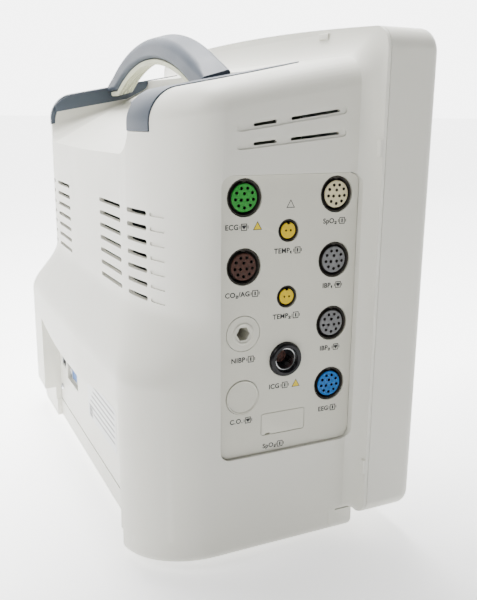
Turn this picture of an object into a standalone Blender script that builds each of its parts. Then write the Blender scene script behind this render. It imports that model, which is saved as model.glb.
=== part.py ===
"""Bedside patient monitor: a display housing with a carrying handle, a socket panel and its inner modules.

Metres, +Z up. The screen faces -Y, the sockets are on the -X side, and the origin is on the floor
under the middle of the object's box. Each sub-part is one closed solid in its own object.
"""
import math

import bmesh
import bpy

# ---- driving dimensions -------------------------------------------------------------------
BODY_HALF = 0.153            # half width of the rear housing
BEZEL_HALF = 0.166           # half width of the front bezel
RIM_Y = -0.045               # parting plane between bezel and rear housing
FRONT_Y = -0.0765            # bezel's front face
REAR_TOP_Y = 0.073           # rear face of the upper housing
REAR_LOW_Y = 0.090           # rear face of the lower bulge
BULGE_Z = (0.105, 0.1445)     # the bulge fades out between these heights
BODY_Z0 = 0.019              # seam between rear housing and base tray
TOP_AT_ORIGIN = 0.2675       # height of the sloping top at Y = 0
TOP_SLOPE = -0.19            # the top rises towards the front
TOP_ROUND = 0.015            # radius along the top edges
BEZEL_Z = (0.018, 0.288)     # bottom and corner height of the bezel
BEZEL_CROWN = 0.005          # extra height in the middle of the bezel's top
WALL = 0.003                 # moulded wall
GAP = 0.0003                 # clearance between neighbours
BOTTOM_Z = 0.005             # underside of the base tray

RECESS_HALF = 0.0965         # half width of the handle recess
PANEL_Y = (-0.0397, 0.0415)  # socket panel, front and rear edge
PANEL_Z = (0.0634, 0.2153)   # socket panel, bottom and top edge
PANEL_DEPTH = 0.002          # the panel's face lies this far inside the side wall
SOCKET_ROWS = (0.204, 0.1688, 0.1333, 0.0979)
MID_ROWS = (0.1862, 0.1509, 0.1161)
SOCKET_COLS = (0.028, 0.0025, -0.0259)
IO_X = (-0.121, 0.0875)      # connector bay between the two rear wings
IO_FACE_Y = 0.076            # face of the rear connector panel
SCREEN_X = 0.127             # half width of the screen window
SCREEN_Z = (0.079, 0.271)    # bottom and top of the screen window
KEY_Z = 0.048                # height of the key row
KNOB_X = 0.126               # the knob's place on the key row

HOOD_Z = 0.0808              # lower edge of the bulge in the middle of the bay
HOOD_RISE = 0.0135           # how much higher that edge is at the wings
WING_STEP = (0.0803, 0.0290) # the right wing is set in behind this depth, below this height

ROUND_SIDES = 24


# ---- materials ----------------------------------------------------------------------------
def material(name, colour, roughness, metallic):
    found = bpy.data.materials.get(name)
    if found:
        return found
    made = bpy.data.materials.new(name)
    made.use_nodes = True
    shader = made.node_tree.nodes["Principled BSDF"]
    shader.inputs["Base Color"].default_value = (*colour, 1.0)
    shader.inputs["Roughness"].default_value = roughness
    shader.inputs["Metallic"].default_value = metallic
    made.diffuse_color = (*colour, 1.0)
    return made


PALETTE = {
    "housing": ((0.72, 0.72, 0.69), 0.45, 0.0),
    "slate": ((0.10, 0.13, 0.16), 0.5, 0.0),
    "grip": ((0.42, 0.44, 0.33), 0.7, 0.0),
    "panel": ((0.70, 0.70, 0.67), 0.5, 0.0),
    "green": ((0.06, 0.38, 0.08), 0.4, 0.0),
    "brown": ((0.12, 0.05, 0.035), 0.45, 0.0),
    "cream": ((0.68, 0.65, 0.48), 0.45, 0.0),
    "grey": ((0.25, 0.26, 0.27), 0.45, 0.0),
    "blue": ((0.02, 0.26, 0.55), 0.4, 0.0),
    "yellow": ((0.70, 0.48, 0.02), 0.4, 0.0),
    "black": ((0.02, 0.02, 0.022), 0.35, 0.0),
    "rubber": ((0.05, 0.05, 0.05), 0.85, 0.0),
    "clear": ((0.05, 0.06, 0.07), 0.1, 0.0),
    "steel": ((0.55, 0.56, 0.58), 0.35, 1.0),
    "aluminium": ((0.65, 0.66, 0.68), 0.4, 0.9),
    "board": ((0.03, 0.18, 0.08), 0.5, 0.0),
    "amber": ((0.75, 0.50, 0.20), 0.3, 0.0),
    "paper": ((0.85, 0.85, 0.82), 0.8, 0.0),
    "key": ((0.30, 0.33, 0.36), 0.5, 0.0),
}


def dress(thing, finish):
    colour, roughness, metallic = PALETTE[finish]
    thing.data.materials.append(material(finish, colour, roughness, metallic))


# ---- mesh helpers -------------------------------------------------------------------------
def solid(name, mesh_data, finish=None, origin=(0.0, 0.0, 0.0), smooth=False):
    """One object from a bmesh in world coordinates, with its origin where asked."""
    bmesh.ops.recalc_face_normals(mesh_data, faces=mesh_data.faces)
    bmesh.ops.translate(mesh_data, vec=[-value for value in origin], verts=mesh_data.verts)
    mesh = bpy.data.meshes.new(name)
    mesh_data.to_mesh(mesh)
    mesh_data.free()
    thing = bpy.data.objects.new(name, mesh)
    thing.location = origin
    bpy.context.scene.collection.objects.link(thing)
    if finish:
        dress(thing, finish)
    if smooth:
        mesh.shade_smooth()
        mesh.set_sharp_from_angle(angle=math.radians(35))
    return thing


def loft(rings):
    """Closed body through rings of points that all have the same count."""
    made = bmesh.new()
    loops = [[made.verts.new(point) for point in ring] for ring in rings]
    count = len(loops[0])
    for first, second in zip(loops, loops[1:]):
        for i in range(count):
            j = (i + 1) % count
            made.faces.new((first[i], first[j], second[j], second[i]))
    made.faces.new(loops[0])
    made.faces.new(list(reversed(loops[-1])))
    return made


def place(plane, a, b, depth):
    """A point of a drawing plane: XZ looks along Y, YZ along X, XY along Z."""
    if plane == "XZ":
        return (a, depth, b)
    if plane == "YZ":
        return (depth, a, b)
    return (a, b, depth)


def prism(outline, plane, start, end):
    return loft([[place(plane, a, b, depth) for a, b in outline] for depth in (start, end)])


def rectangle(a0, a1, b0, b1, radius=0.0, steps=4):
    """Rectangle outline, with round corners when a radius is given."""
    if radius <= 0.0:
        return [(a0, b0), (a1, b0), (a1, b1), (a0, b1)]
    points = []
    corners = (
        (a1 - radius, b0 + radius, -90),
        (a1 - radius, b1 - radius, 0),
        (a0 + radius, b1 - radius, 90),
        (a0 + radius, b0 + radius, 180),
    )
    for centre_a, centre_b, start in corners:
        for step in range(steps + 1):
            angle = math.radians(start + 90.0 * step / steps)
            points.append((centre_a + radius * math.cos(angle), centre_b + radius * math.sin(angle)))
    return points


def box_mesh(low, high):
    return prism(rectangle(low[0], high[0], low[1], high[1]), "XY", low[2], high[2])


def box(name, low, high, finish, bevel=0.0, origin=(0.0, 0.0, 0.0)):
    thing = solid(name, box_mesh(low, high), finish, origin)
    if bevel:
        rounding = thing.modifiers.new("rounding", "BEVEL")
        rounding.width = bevel
        rounding.segments = 2
        rounding.limit_method = "NONE"
    return thing


AXES = {
    "-X": ((-1, 0, 0), (0, -1, 0), (0, 0, 1)),
    "+X": ((1, 0, 0), (0, 1, 0), (0, 0, 1)),
    "-Y": ((0, -1, 0), (1, 0, 0), (0, 0, 1)),
    "+Y": ((0, 1, 0), (-1, 0, 0), (0, 0, 1)),
    "+Z": ((0, 0, 1), (1, 0, 0), (0, 1, 0)),
    "-Z": ((0, 0, -1), (1, 0, 0), (0, -1, 0)),
}


def turned(profile, centre, facing, sides=ROUND_SIDES):
    """Body of revolution. The profile is a closed list of (radius, height along the facing)."""
    along, across, up = AXES[facing]
    made = bmesh.new()
    loops = []
    for radius, height in profile:
        loop = []
        for side in range(sides if radius > 0.0 else 1):
            angle = 2.0 * math.pi * side / sides
            a = radius * math.cos(angle)
            b = radius * math.sin(angle)
            loop.append(made.verts.new([
                centre[i] + along[i] * height + across[i] * a + up[i] * b for i in range(3)
            ]))
        loops.append(loop)
    for first, second in zip(loops, loops[1:] + loops[:1]):
        if len(first) == 1 and len(second) == 1:
            continue
        for i in range(sides):
            j = (i + 1) % sides
            near = [first[i % len(first)], first[j % len(first)]]
            far = [second[j % len(second)], second[i % len(second)]]
            made.faces.new(list(dict.fromkeys(near + far)))
    return made


def disc(centre, facing, radius, length, sides=ROUND_SIDES):
    return turned([(0.0, 0.0), (radius, 0.0), (radius, length), (0.0, length)], centre, facing, sides)


def combine(target, tool, operation):
    """Cut, join or keep by a hidden tool body."""
    tool.hide_render = True
    tool.display_type = "WIRE"
    change = target.modifiers.new(tool.name, "BOOLEAN")
    change.operation = operation
    change.solver = "EXACT"
    change.object = tool


def cut(target, tool_mesh, label):
    combine(target, solid("cut_" + label, tool_mesh), "DIFFERENCE")


def join(target, tool_mesh, label):
    combine(target, solid("join_" + label, tool_mesh), "UNION")


def merged(pieces):
    """Several separate bodies in one bmesh, for a cutter that cuts all of them."""
    whole = bmesh.new()
    for piece in pieces:
        scratch = bpy.data.meshes.new("scratch")
        piece.to_mesh(scratch)
        piece.free()
        whole.from_mesh(scratch)
        bpy.data.meshes.remove(scratch)
    return whole


# ---- outer form of the housing ------------------------------------------------------------
def smooth_step(t):
    t = min(1.0, max(0.0, t))
    return t * t * (3.0 - 2.0 * t)


def top_height(y):
    return TOP_AT_ORIGIN + TOP_SLOPE * y


def plan_outline(bulge, inset, front_y):
    """Plan of the housing at one height: bulge 1 is the deep lower part, 0 the upper part."""
    half = BODY_HALF - inset
    rear = REAR_TOP_Y + (REAR_LOW_Y - REAR_TOP_Y) * bulge - inset
    corner_x = 0.070 - 0.034 * bulge - inset
    corner_y = 0.032 + 0.013 * bulge - inset
    corner_steps = 8
    bow = 0.002
    points = [(-half, front_y), (half, front_y)]
    right = []
    for step in range(corner_steps + 1):
        angle = math.radians(90.0 * step / corner_steps)
        x = half - corner_x + corner_x * math.cos(angle)
        y = rear - corner_y + corner_y * math.sin(angle)
        right.append((x, y - bow * smooth_step(abs(x) / half)))
    points += right
    points.append((0.0, rear))
    points += [(-x, y) for x, y in reversed(right)]
    return points


def housing_form(inset, front_y=RIM_Y, bottom=BODY_Z0):
    """Loft of the housing from its bottom edge to its rounded, sloping top."""
    low, high = BULGE_Z
    rings = []
    for z in (bottom, 0.060, 0.090, low, low + 0.008, low + 0.016, low + 0.024, low + 0.032, high, 0.200):
        bulge = 1.0 - smooth_step((z - low) / (high - low))
        rings.append([(x, y, z) for x, y in plan_outline(bulge, inset, front_y)])
    radius = TOP_ROUND
    round_steps = 4
    for step in range(round_steps + 1):
        angle = math.radians(90.0 * step / round_steps)
        extra = radius * (1.0 - math.cos(angle))
        ring = []
        for x, y in plan_outline(0.0, inset + extra, front_y):
            ring.append((x, y, top_height(y) - inset - radius * (1.0 - math.sin(angle))))
        rings.append(ring)
    return loft(rings)


def front_section(half, z0, z1, crown, top_radius, low_radius):
    """Outline across the front: round corners and a crowned top edge, same count at any size."""
    points = []
    corner_steps = 4
    for step in range(corner_steps + 1):
        angle = math.radians(-90.0 + 90.0 * step / corner_steps)
        x = half - low_radius + low_radius * math.cos(angle)
        points.append((x, z0 + low_radius + low_radius * math.sin(angle)))
    top_points = []
    for step in range(corner_steps + 1):
        angle = math.radians(90.0 * step / corner_steps)
        x = half - top_radius + top_radius * math.cos(angle)
        top_points.append((x, z1 - top_radius + top_radius * math.sin(angle)))
    for share in (0.66, 0.33, 0.0):
        top_points.append(((half - top_radius) * share, z1))
    lift = [(x, z + crown * (1.0 - (x / half) ** 2)) for x, z in top_points]
    points += lift
    mirrored = [(-x, z) for x, z in reversed(points) if x > 1e-9]
    return points + mirrored


RIM_TOP_RADIUS = 0.011
RIM_LOW_RADIUS = 0.009


def rim_section(inset):
    bottom, top = BEZEL_Z[0] + inset, BEZEL_Z[1] - inset
    top_radius = RIM_TOP_RADIUS - 0.5 * inset
    low_radius = RIM_LOW_RADIUS - 0.5 * inset
    return front_section(BEZEL_HALF - inset, bottom, top, BEZEL_CROWN, top_radius, low_radius)


def flange_form():
    """Concave flare that carries the housing out to the bezel's rim."""
    rings = []
    steps = 6
    start_y = -0.034
    lip_y = RIM_Y + 0.0015
    for step in range(steps + 1):
        angle = math.radians(90.0 * step / steps)
        share = 1.0 - math.cos(angle)
        y = start_y + (lip_y - start_y) * math.sin(angle)
        body_top = top_height(y)
        half = BODY_HALF - 0.0006 + (BEZEL_HALF - BODY_HALF) * share
        bottom = BODY_Z0 + 0.001 + (BEZEL_Z[0] - BODY_Z0 - 0.001) * share
        top = body_top - 0.0006 + (BEZEL_Z[1] - body_top + 0.0006) * share
        corner = TOP_ROUND + (RIM_TOP_RADIUS - TOP_ROUND) * share
        low_corner = 0.001 + (RIM_LOW_RADIUS - 0.001) * share
        section = front_section(half, bottom, top, BEZEL_CROWN * share, corner, low_corner)
        rings.append([(x, y, z) for x, z in section])
    rings.append([(x, RIM_Y, z) for x, z in rim_section(0.0)])
    return loft(rings)


def scoop_floor(y):
    """Height of the handle recess's floor: it climbs from the rear rim towards the handle."""
    rear_y, rear_z = 0.0730, 0.2220
    front_y, front_z = 0.0130, 0.2530
    share = (rear_y - y) / (rear_y - front_y)
    return rear_z + (front_z - rear_z) * share


def scoop_form(grow):
    """Body cut out under the handle, open to the top and to the rear."""
    rings = []
    for y in (0.110, 0.073, 0.043, 0.013, 0.0, -0.0052 - grow):
        floor = scoop_floor(y) - grow
        half = RECESS_HALF + grow
        radius = 0.0022 + 0.25 * max(0.0, y - 0.018)
        ring = [(half, y, 0.330)]
        for step in range(6):
            angle = math.radians(-90.0 * step / 5)
            x = half - radius + radius * math.cos(angle)
            ring.append((x, y, floor + radius + radius * math.sin(angle)))
        ring += [(-x, at, z) for x, at, z in reversed(ring)]
        rings.append(ring)
    return loft(rings)


def bay_outline(left, right, bottom, lift):
    """Outline of the bay across the rear, with its top along the bulge's curved lower edge."""
    steps = 8
    outline = [(left, bottom), (right, bottom)]
    for step in range(steps + 1):
        x = right + (left - right) * step / steps
        outline.append((x, HOOD_Z + lift + HOOD_RISE * (x / IO_X[0]) ** 2))
    return outline


def bay_form(grow):
    """Recess for the rear connector panel, under the curved lower edge of the bulge."""
    outline = bay_outline(IO_X[0] - grow, IO_X[1] + grow, BODY_Z0 - 0.02, grow)
    return prism(outline, "XZ", IO_FACE_Y - 0.0035 - grow, 0.120)


def wing_step_form(grow):
    """Set-in lower end of the right wing."""
    return box_mesh((IO_X[1] - 0.004 - grow, WING_STEP[0] - grow, -0.03), (0.180, 0.120, WING_STEP[1] + grow))


# ---- housing ------------------------------------------------------------------------------
TAB_REAR_X = (0.0962, 0.1190)     # rail and tab, from the recess outwards
TAB_LOW_Z = 0.2355                # lower end of the tab on the rear face
RAIL_FRONT_Y = -0.0300            # the rail's pointed front end


def rail_plan(side, grow):
    """Plan of one rail: wide at the rear, drawn to a point at the front."""
    inner = RECESS_HALF - grow if grow else TAB_REAR_X[0] + GAP
    outer = TAB_REAR_X[1] + grow
    outline = [
        (inner, 0.120),
        (outer, 0.120),
        (outer, 0.030),
        (outer - 0.004, 0.004),
        (inner + 0.004 + grow, RAIL_FRONT_Y - grow),
        (inner, RAIL_FRONT_Y - grow),
    ]
    return [(side * x, y) for x, y in outline]


def make_rear_housing():
    shell = solid("rear_housing", housing_form(0.0), "housing")
    join(shell, flange_form(), "flange")

    hollow = solid("cut_hollow", housing_form(WALL, RIM_Y - 0.02, BODY_Z0 - 0.02))
    cut(hollow, scoop_form(WALL), "hollow_scoop")
    cut(hollow, bay_form(WALL), "hollow_bay")
    cut(hollow, wing_step_form(WALL), "hollow_wing")
    for side, label in ((-1, "left"), (1, "right")):
        cut(hollow, prism(rail_plan(side, 0.003), "XY", 0.225, 0.330), "hollow_rail_" + label)
    combine(shell, hollow, "DIFFERENCE")

    cut(shell, scoop_form(0.0), "scoop")
    cut(shell, bay_form(0.0), "bay")
    cut(shell, wing_step_form(0.0), "wing_step")
    ledge = 0.006
    behind_panel = rectangle(IO_X[0] + ledge, IO_X[1] - ledge, BODY_Z0 + ledge, HOOD_Z - ledge)
    cut(shell, prism(behind_panel, "XZ", 0.060, IO_FACE_Y), "bay_back")
    seats = solid("cut_rail_seats", merged([
        prism(rail_plan(side, GAP), "XY", TAB_LOW_Z - GAP, 0.330) for side in (-1, 1)
    ]))
    cut(seats, housing_form(0.0025), "rail_seat_depth")
    combine(shell, seats, "DIFFERENCE")

    panel_hole = rectangle(PANEL_Y[0], PANEL_Y[1], PANEL_Z[0], PANEL_Z[1], 0.006)
    cut(shell, prism(panel_hole, "YZ", -0.170, -0.140), "panel_hole")
    cut(shell, merged(side_vents()), "side_vents")
    cut(shell, merged(rear_vents()), "rear_vents")
    cut(shell, prism(rectangle(*RECORDER_Y, *RECORDER_Z), "YZ", 0.140, 0.170), "recorder_hole")
    cut(shell, prism(rectangle(*BATTERY_Y, *BATTERY_Z), "YZ", 0.140, 0.170), "battery_hole")
    cut(shell, prism(rectangle(*INLET_Y, *INLET_Z), "YZ", 0.140, 0.170), "inlet_hole")
    cut(shell, disc((0.140, STUD_Y, STUD_Z), "+X", 0.0035, 0.03, 16), "stud_hole")
    return shell


SLITS = ((0.2394, 0.150), (0.2303, 0.106))     # height at the rear end, and rise towards the front
SLIT_REAR_Y = 0.0240
SLIT_SPANS = ((0.0240, 0.0114), (0.0031, -0.0249))
SLIT_HALF = 0.0008


def slit_height(y, height, rise):
    return height + rise * (SLIT_REAR_Y - y)


def side_vents():
    """Long and short slits high on both side walls."""
    slits = []
    for height, rise in SLITS:
        for rear_y, front_y in SLIT_SPANS:
            low = slit_height(rear_y, height, rise)
            high = slit_height(front_y, height, rise)
            outline = [
                (rear_y, low - SLIT_HALF),
                (rear_y, low + SLIT_HALF),
                (front_y, high + SLIT_HALF),
                (front_y, high - SLIT_HALF),
            ]
            for side in (-1, 1):
                slits.append(prism(outline, "YZ", side * 0.140, side * 0.160))
    return slits


VENT_ROWS = 7
VENT_TOP_Z = 0.1936
VENT_PITCH = 0.00763
VENT_SPANS = ((0.0400, 0.0815), (0.0925, 0.1150))


def rear_vents():
    """Two mirrored groups of slots in the upper rear wall."""
    slots = []
    for row in range(VENT_ROWS):
        z = VENT_TOP_Z - VENT_PITCH * row
        for near, far in VENT_SPANS:
            for side in (-1, 1):
                low_x, high_x = sorted((side * near, side * far))
                slots.append(box_mesh((low_x, 0.055, z - 0.0014), (high_x, 0.100, z + 0.0014)))
    return slots


# ---- handle -------------------------------------------------------------------------------
HANDLE_REAR_Y = 0.0280
HANDLE_FRONT_Y = 0.0110
ARCH_TOP = 0.2903
ARCH_RADIUS = 0.185
INNER_TOP = 0.2778
INNER_RADIUS = 0.165
ARCH_TILT = -0.28
GRIP_THICK = 0.0035


def arch_height(x, top, radius, y):
    return top - (radius - math.sqrt(radius * radius - x * x)) + ARCH_TILT * (y - HANDLE_REAR_Y)


def bow_stations(half):
    """Places along X where the bow and its grip have a section, so both follow the same chords."""
    steps = 24
    reach = RECESS_HALF - 0.0010
    places = [-reach + 2.0 * reach * step / steps for step in range(steps + 1)]
    return [min(half, max(-half, x)) for x in places]


def bow_underside(x):
    inner = arch_height(x, INNER_TOP, INNER_RADIUS, HANDLE_REAR_Y)
    return max(inner, scoop_floor(HANDLE_FRONT_Y) + GRIP_THICK + 0.0018)


def arch_mesh():
    """The handle's bow, with a rounded section, from one recess wall to the other."""
    rings = []
    for x in bow_stations(RECESS_HALF - 0.0010):
        outer = arch_height(x, ARCH_TOP, ARCH_RADIUS, HANDLE_REAR_Y)
        inner = bow_underside(x)
        radius = min(0.0040, 0.35 * (outer - inner))
        section = rectangle(HANDLE_FRONT_Y, HANDLE_REAR_Y, inner, outer, radius, 3)
        rings.append([(x, y, z + ARCH_TILT * (y - HANDLE_REAR_Y)) for y, z in section])
    return loft(rings)


LINING_X = (RECESS_HALF - 0.0025, RECESS_HALF - GAP)


def wall_plate(side):
    """Dark lining of one side wall of the recess."""
    outline = [
        (0.0680, 0.2445),
        (0.0130, 0.2548),
        (0.0000, 0.2612),
        (-0.0030, 0.2632),
        (-0.0045, 0.2665),
    ]
    outline += [(y, top_height(y) + 0.0004) for y in (-0.0040, 0.0570)]
    outline += [(0.0640, 0.2532), (0.0680, 0.2500)]
    return prism(outline, "YZ", side * LINING_X[0], side * LINING_X[1])


def bow_root(side):
    """Bridge from the bow's end over the recess edge into the rail."""
    outline = [(y, top_height(y) + lift) for y, lift in (
        (0.0125, -0.0020), (0.0265, -0.0020), (0.0265, 0.0003), (0.0125, 0.0003))]
    return prism(outline, "YZ", side * LINING_X[0], side * (RECESS_HALF + 0.0017))


def make_handle():
    frame = solid("handle_frame", arch_mesh(), "slate")
    for side, label in ((-1, "left"), (1, "right")):
        rail = solid("join_rail_" + label, prism(rail_plan(side, 0.0), "XY", TAB_LOW_Z, 0.330))
        combine(rail, solid("keep_skin_" + label, housing_form(-0.0006)), "INTERSECT")
        cut(rail, housing_form(0.0022), "rail_under_" + label)
        combine(frame, rail, "UNION")
        join(frame, wall_plate(side), "lining_" + label)
        join(frame, bow_root(side), "root_" + label)
    return frame


def make_grip():
    """Ribbed soft insert under the bow, its ribs running along the arch."""
    rings = []
    rib_count = 5
    low_y = HANDLE_FRONT_Y + 0.0022
    high_y = HANDLE_REAR_Y - 0.0022
    for x in bow_stations(RECESS_HALF - 0.0031):
        top = bow_underside(x) - GAP
        section = [(high_y, top), (low_y, top)]
        for rib in range(2 * rib_count + 1):
            y = low_y + (high_y - low_y) * rib / (2 * rib_count)
            depth = GRIP_THICK if rib % 2 else GRIP_THICK - 0.0014
            section.append((y, top - depth))
        rings.append([(x, y, z + ARCH_TILT * (y - HANDLE_REAR_Y)) for y, z in section])
    return solid("handle_grip", loft(rings), "grip")


# ---- socket panel and its sockets ---------------------------------------------------------
PANEL_X = -BODY_HALF + PANEL_DEPTH
PANEL_THICK = 0.0030
SOCKETS = (
    ("ecg_socket", 0, SOCKET_ROWS[0], "green"),
    ("co2_socket", 0, SOCKET_ROWS[1], "brown"),
    ("spo2_socket", 2, SOCKET_ROWS[0], "cream"),
    ("ibp1_socket", 2, SOCKET_ROWS[1], "grey"),
    ("ibp2_socket", 2, SOCKET_ROWS[2], "grey"),
    ("eeg_socket", 2, SOCKET_ROWS[3], "blue"),
)
SOCKET_R = 0.0095
TEMP_R = 0.0058


def socket_place(column, z):
    return (PANEL_X, SOCKET_COLS[column], z)


def make_socket_panel():
    outline = rectangle(PANEL_Y[0] + GAP, PANEL_Y[1] - GAP, PANEL_Z[0] + GAP, PANEL_Z[1] - GAP, 0.0057)
    panel = solid("socket_panel", prism(outline, "YZ", PANEL_X, PANEL_X + PANEL_THICK), "panel")
    back = PANEL_X + PANEL_THICK + 0.01
    holes = [(column, z, SOCKET_R + GAP) for _, column, z, _ in SOCKETS]
    holes += [(1, MID_ROWS[0], TEMP_R + GAP), (1, MID_ROWS[1], TEMP_R + GAP)]
    holes.append((1, MID_ROWS[2], SOCKET_R + GAP))
    holes += [(0, SOCKET_ROWS[2], SOCKET_R + GAP), (0, SOCKET_ROWS[3], SOCKET_R + GAP)]
    tools = [disc((back, SOCKET_COLS[column], z), "-X", radius, 0.02) for column, z, radius in holes]
    blank = rectangle(*BLANK_Y, *BLANK_Z, 0.0015, 2)
    tools.append(prism(blank, "YZ", back, PANEL_X - 0.01))
    cut(panel, merged(tools), "panel_holes")
    return panel


BLANK_Y = (-0.0105, 0.0167)
BLANK_Z = (0.0736, 0.0864)


def make_sockets():
    for name, column, z, finish in SOCKETS:
        profile = [
            (0.0, -0.016), (SOCKET_R, -0.016), (SOCKET_R, 0.0003), (0.0084, 0.0003),
            (0.0084, -0.0070), (0.00665, -0.0070), (0.00665, 0.0), (0.0, 0.0),
        ]
        solid(name, turned(profile, socket_place(column, z), "-X"), finish, smooth=True)
    for name, z in (("temp1_socket", MID_ROWS[0]), ("temp2_socket", MID_ROWS[1])):
        profile = [
            (0.0, -0.014), (TEMP_R, -0.014), (TEMP_R, 0.0004), (0.0047, 0.0004),
            (0.0047, -0.0050), (0.0030, -0.0050), (0.0030, -0.0010), (0.0, -0.0010),
        ]
        solid(name, turned(profile, socket_place(1, z), "-X"), "yellow", smooth=True)
    profile = [
        (0.0, -0.018), (SOCKET_R, -0.018), (SOCKET_R, 0.0012), (0.0088, 0.0024), (0.0072, 0.0024),
        (0.0060, 0.0014), (0.0052, -0.0020), (0.0052, -0.0110), (0.0, -0.0110),
    ]
    solid("icg_socket", turned(profile, socket_place(1, MID_ROWS[2]), "-X"), "black", smooth=True)
    profile = [
        (0.0, -0.018), (SOCKET_R, -0.018), (SOCKET_R, 0.0002), (0.0044, 0.0002), (0.0040, 0.0010),
        (0.0034, 0.0010), (0.0034, -0.0120), (0.0, -0.0120),
    ]
    solid("nibp_port", turned(profile, socket_place(0, SOCKET_ROWS[2]), "-X"), "housing", smooth=True)
    profile = [
        (0.0, -0.003), (SOCKET_R, -0.003), (SOCKET_R, 0.0005), (0.0089, 0.0005), (0.0087, 0.0), (0.0, 0.0),
    ]
    solid("output_blank", turned(profile, socket_place(0, SOCKET_ROWS[3]), "-X"), "housing", smooth=True)
    outline = rectangle(BLANK_Y[0] + GAP, BLANK_Y[1] - GAP, BLANK_Z[0] + GAP, BLANK_Z[1] - GAP, 0.0012, 2)
    solid("module_blank", prism(outline, "YZ", PANEL_X, PANEL_X + 0.0025), "housing")


# ---- front --------------------------------------------------------------------------------
KEY_COUNT = 6
KEY_PITCH = 0.034
KEY_START_X = -0.078
KEY_SIZE = (0.026, 0.012)
POWER_X = -0.126
POWER_R = 0.0075
ALARM_X = (-0.035, 0.035)
ALARM_Z = (0.2765, 0.2855)
KEY_PROUD = 0.0016


def key_x(index):
    return KEY_START_X + KEY_PITCH * index


def key_outline(index, grow):
    x = key_x(index)
    wide = KEY_SIZE[0] / 2 + grow
    tall = KEY_SIZE[1] / 2 + grow
    return rectangle(x - wide, x + wide, KEY_Z - tall, KEY_Z + tall, tall - 0.0005, 3)


def make_front_bezel():
    rings = []
    edge = ((RIM_Y - GAP, 0.0), (-0.0700, 0.0), (-0.0735, 0.0008), (-0.0757, 0.0026), (FRONT_Y, 0.0050))
    for y, inset in edge:
        rings.append([(x, y, z) for x, z in rim_section(inset)])
    bezel = solid("front_bezel", loft(rings), "housing")
    inner = [[(x, y, z) for x, z in rim_section(WALL)] for y in (RIM_Y + 0.01, FRONT_Y + WALL)]
    cut(bezel, loft(inner), "bezel_hollow")
    window = rectangle(-SCREEN_X, SCREEN_X, SCREEN_Z[0], SCREEN_Z[1], 0.003, 2)
    tools = [prism(window, "XZ", -0.09, -0.06)]
    tools += [prism(key_outline(index, 0.0004), "XZ", -0.09, -0.06) for index in range(KEY_COUNT)]
    tools.append(disc((POWER_X, -0.06, KEY_Z), "-Y", POWER_R + 0.0004, 0.03))
    tools.append(disc((KNOB_X, -0.06, KEY_Z), "-Y", 0.0040, 0.03))
    tools.append(prism(rectangle(*ALARM_X, *ALARM_Z, 0.002, 2), "XZ", -0.09, -0.06))
    cut(bezel, merged(tools), "bezel_windows")
    return bezel


def make_front_parts():
    make_front_bezel()
    margin = 0.0004
    half, low, high = SCREEN_X - margin, SCREEN_Z[0] + margin, SCREEN_Z[1] - margin
    lens = rectangle(-half, half, low, high, 0.0026, 2)
    solid("screen_lens", prism(lens, "XZ", FRONT_Y + 0.0008, FRONT_Y + 0.0028), "clear")
    box("lcd_module", (-0.130, -0.0725, 0.0760), (0.130, -0.0625, 0.2735), "black")
    lamp = rectangle(ALARM_X[0] + GAP, ALARM_X[1] - GAP, ALARM_Z[0] + GAP, ALARM_Z[1] - GAP, 0.0017, 2)
    solid("alarm_lens", prism(lamp, "XZ", FRONT_Y - 0.0006, FRONT_Y + 0.0060), "amber")
    power = turned(
        [(0.0, -0.0050), (POWER_R + 0.0015, -0.0050), (POWER_R + 0.0015, -0.0036), (POWER_R, -0.0036),
         (POWER_R, 0.0008), (POWER_R - 0.0010, KEY_PROUD), (0.0, KEY_PROUD)],
        (POWER_X, FRONT_Y, KEY_Z), "-Y",
    )
    solid("power_key", power, "key", smooth=True)
    for index in range(KEY_COUNT):
        key = solid("function_key_%d" % (index + 1), prism(
            key_outline(index, 0.0), "XZ", FRONT_Y - KEY_PROUD, FRONT_Y + 0.0048), "key")
        x = key_x(index)
        skirt = box_mesh(
            (x - KEY_SIZE[0] / 2 - 0.0012, FRONT_Y + 0.0036, KEY_Z - KEY_SIZE[1] / 2 - 0.0012),
            (x + KEY_SIZE[0] / 2 + 0.0012, FRONT_Y + 0.0052, KEY_Z + KEY_SIZE[1] / 2 + 0.0012),
        )
        join(key, skirt, "skirt_%d" % (index + 1))
    make_encoder()


SHAFT_R = 0.0030
KNOB_R = 0.0140
KNOB_FRONT_Y = -0.0900


def make_encoder():
    """Turn-and-push control: body, sliding plunger, shaft and knob on one axis."""
    body = solid("encoder_body", box_mesh(
        (KNOB_X - 0.008, -0.0690, KEY_Z - 0.008), (KNOB_X + 0.008, -0.0565, KEY_Z + 0.008)), "steel")
    cut(body, disc((KNOB_X, -0.0580, KEY_Z), "-Y", 0.0050, 0.02), "encoder_bore")
    axis = (KNOB_X, -0.0640, KEY_Z)
    solid("encoder_plunger", disc((KNOB_X, -0.0600, KEY_Z), "-Y", 0.0046, 0.0030), "black", axis, smooth=True)
    solid("encoder_shaft", disc((KNOB_X, -0.0634, KEY_Z), "-Y", SHAFT_R, 0.0236), "steel", axis, smooth=True)
    face = FRONT_Y - 0.0014
    reach = face - KNOB_FRONT_Y
    profile = [
        (SHAFT_R + GAP, 0.0), (KNOB_R, 0.0), (KNOB_R, reach - 0.0020), (KNOB_R - 0.0020, reach), (0.0, reach),
        (0.0, 0.0093), (SHAFT_R + GAP, 0.0093),
    ]
    solid("control_knob", turned(profile, (KNOB_X, face, KEY_Z), "-Y", 32), "slate", axis, smooth=True)


# ---- rear connectors ----------------------------------------------------------------------
JACK_X = (0.0650, 0.0800)
JACK_Z = (0.0512, 0.0650)
VIDEO_X = (0.0275, 0.0610)
VIDEO_Z = (0.0455, 0.0580)


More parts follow.
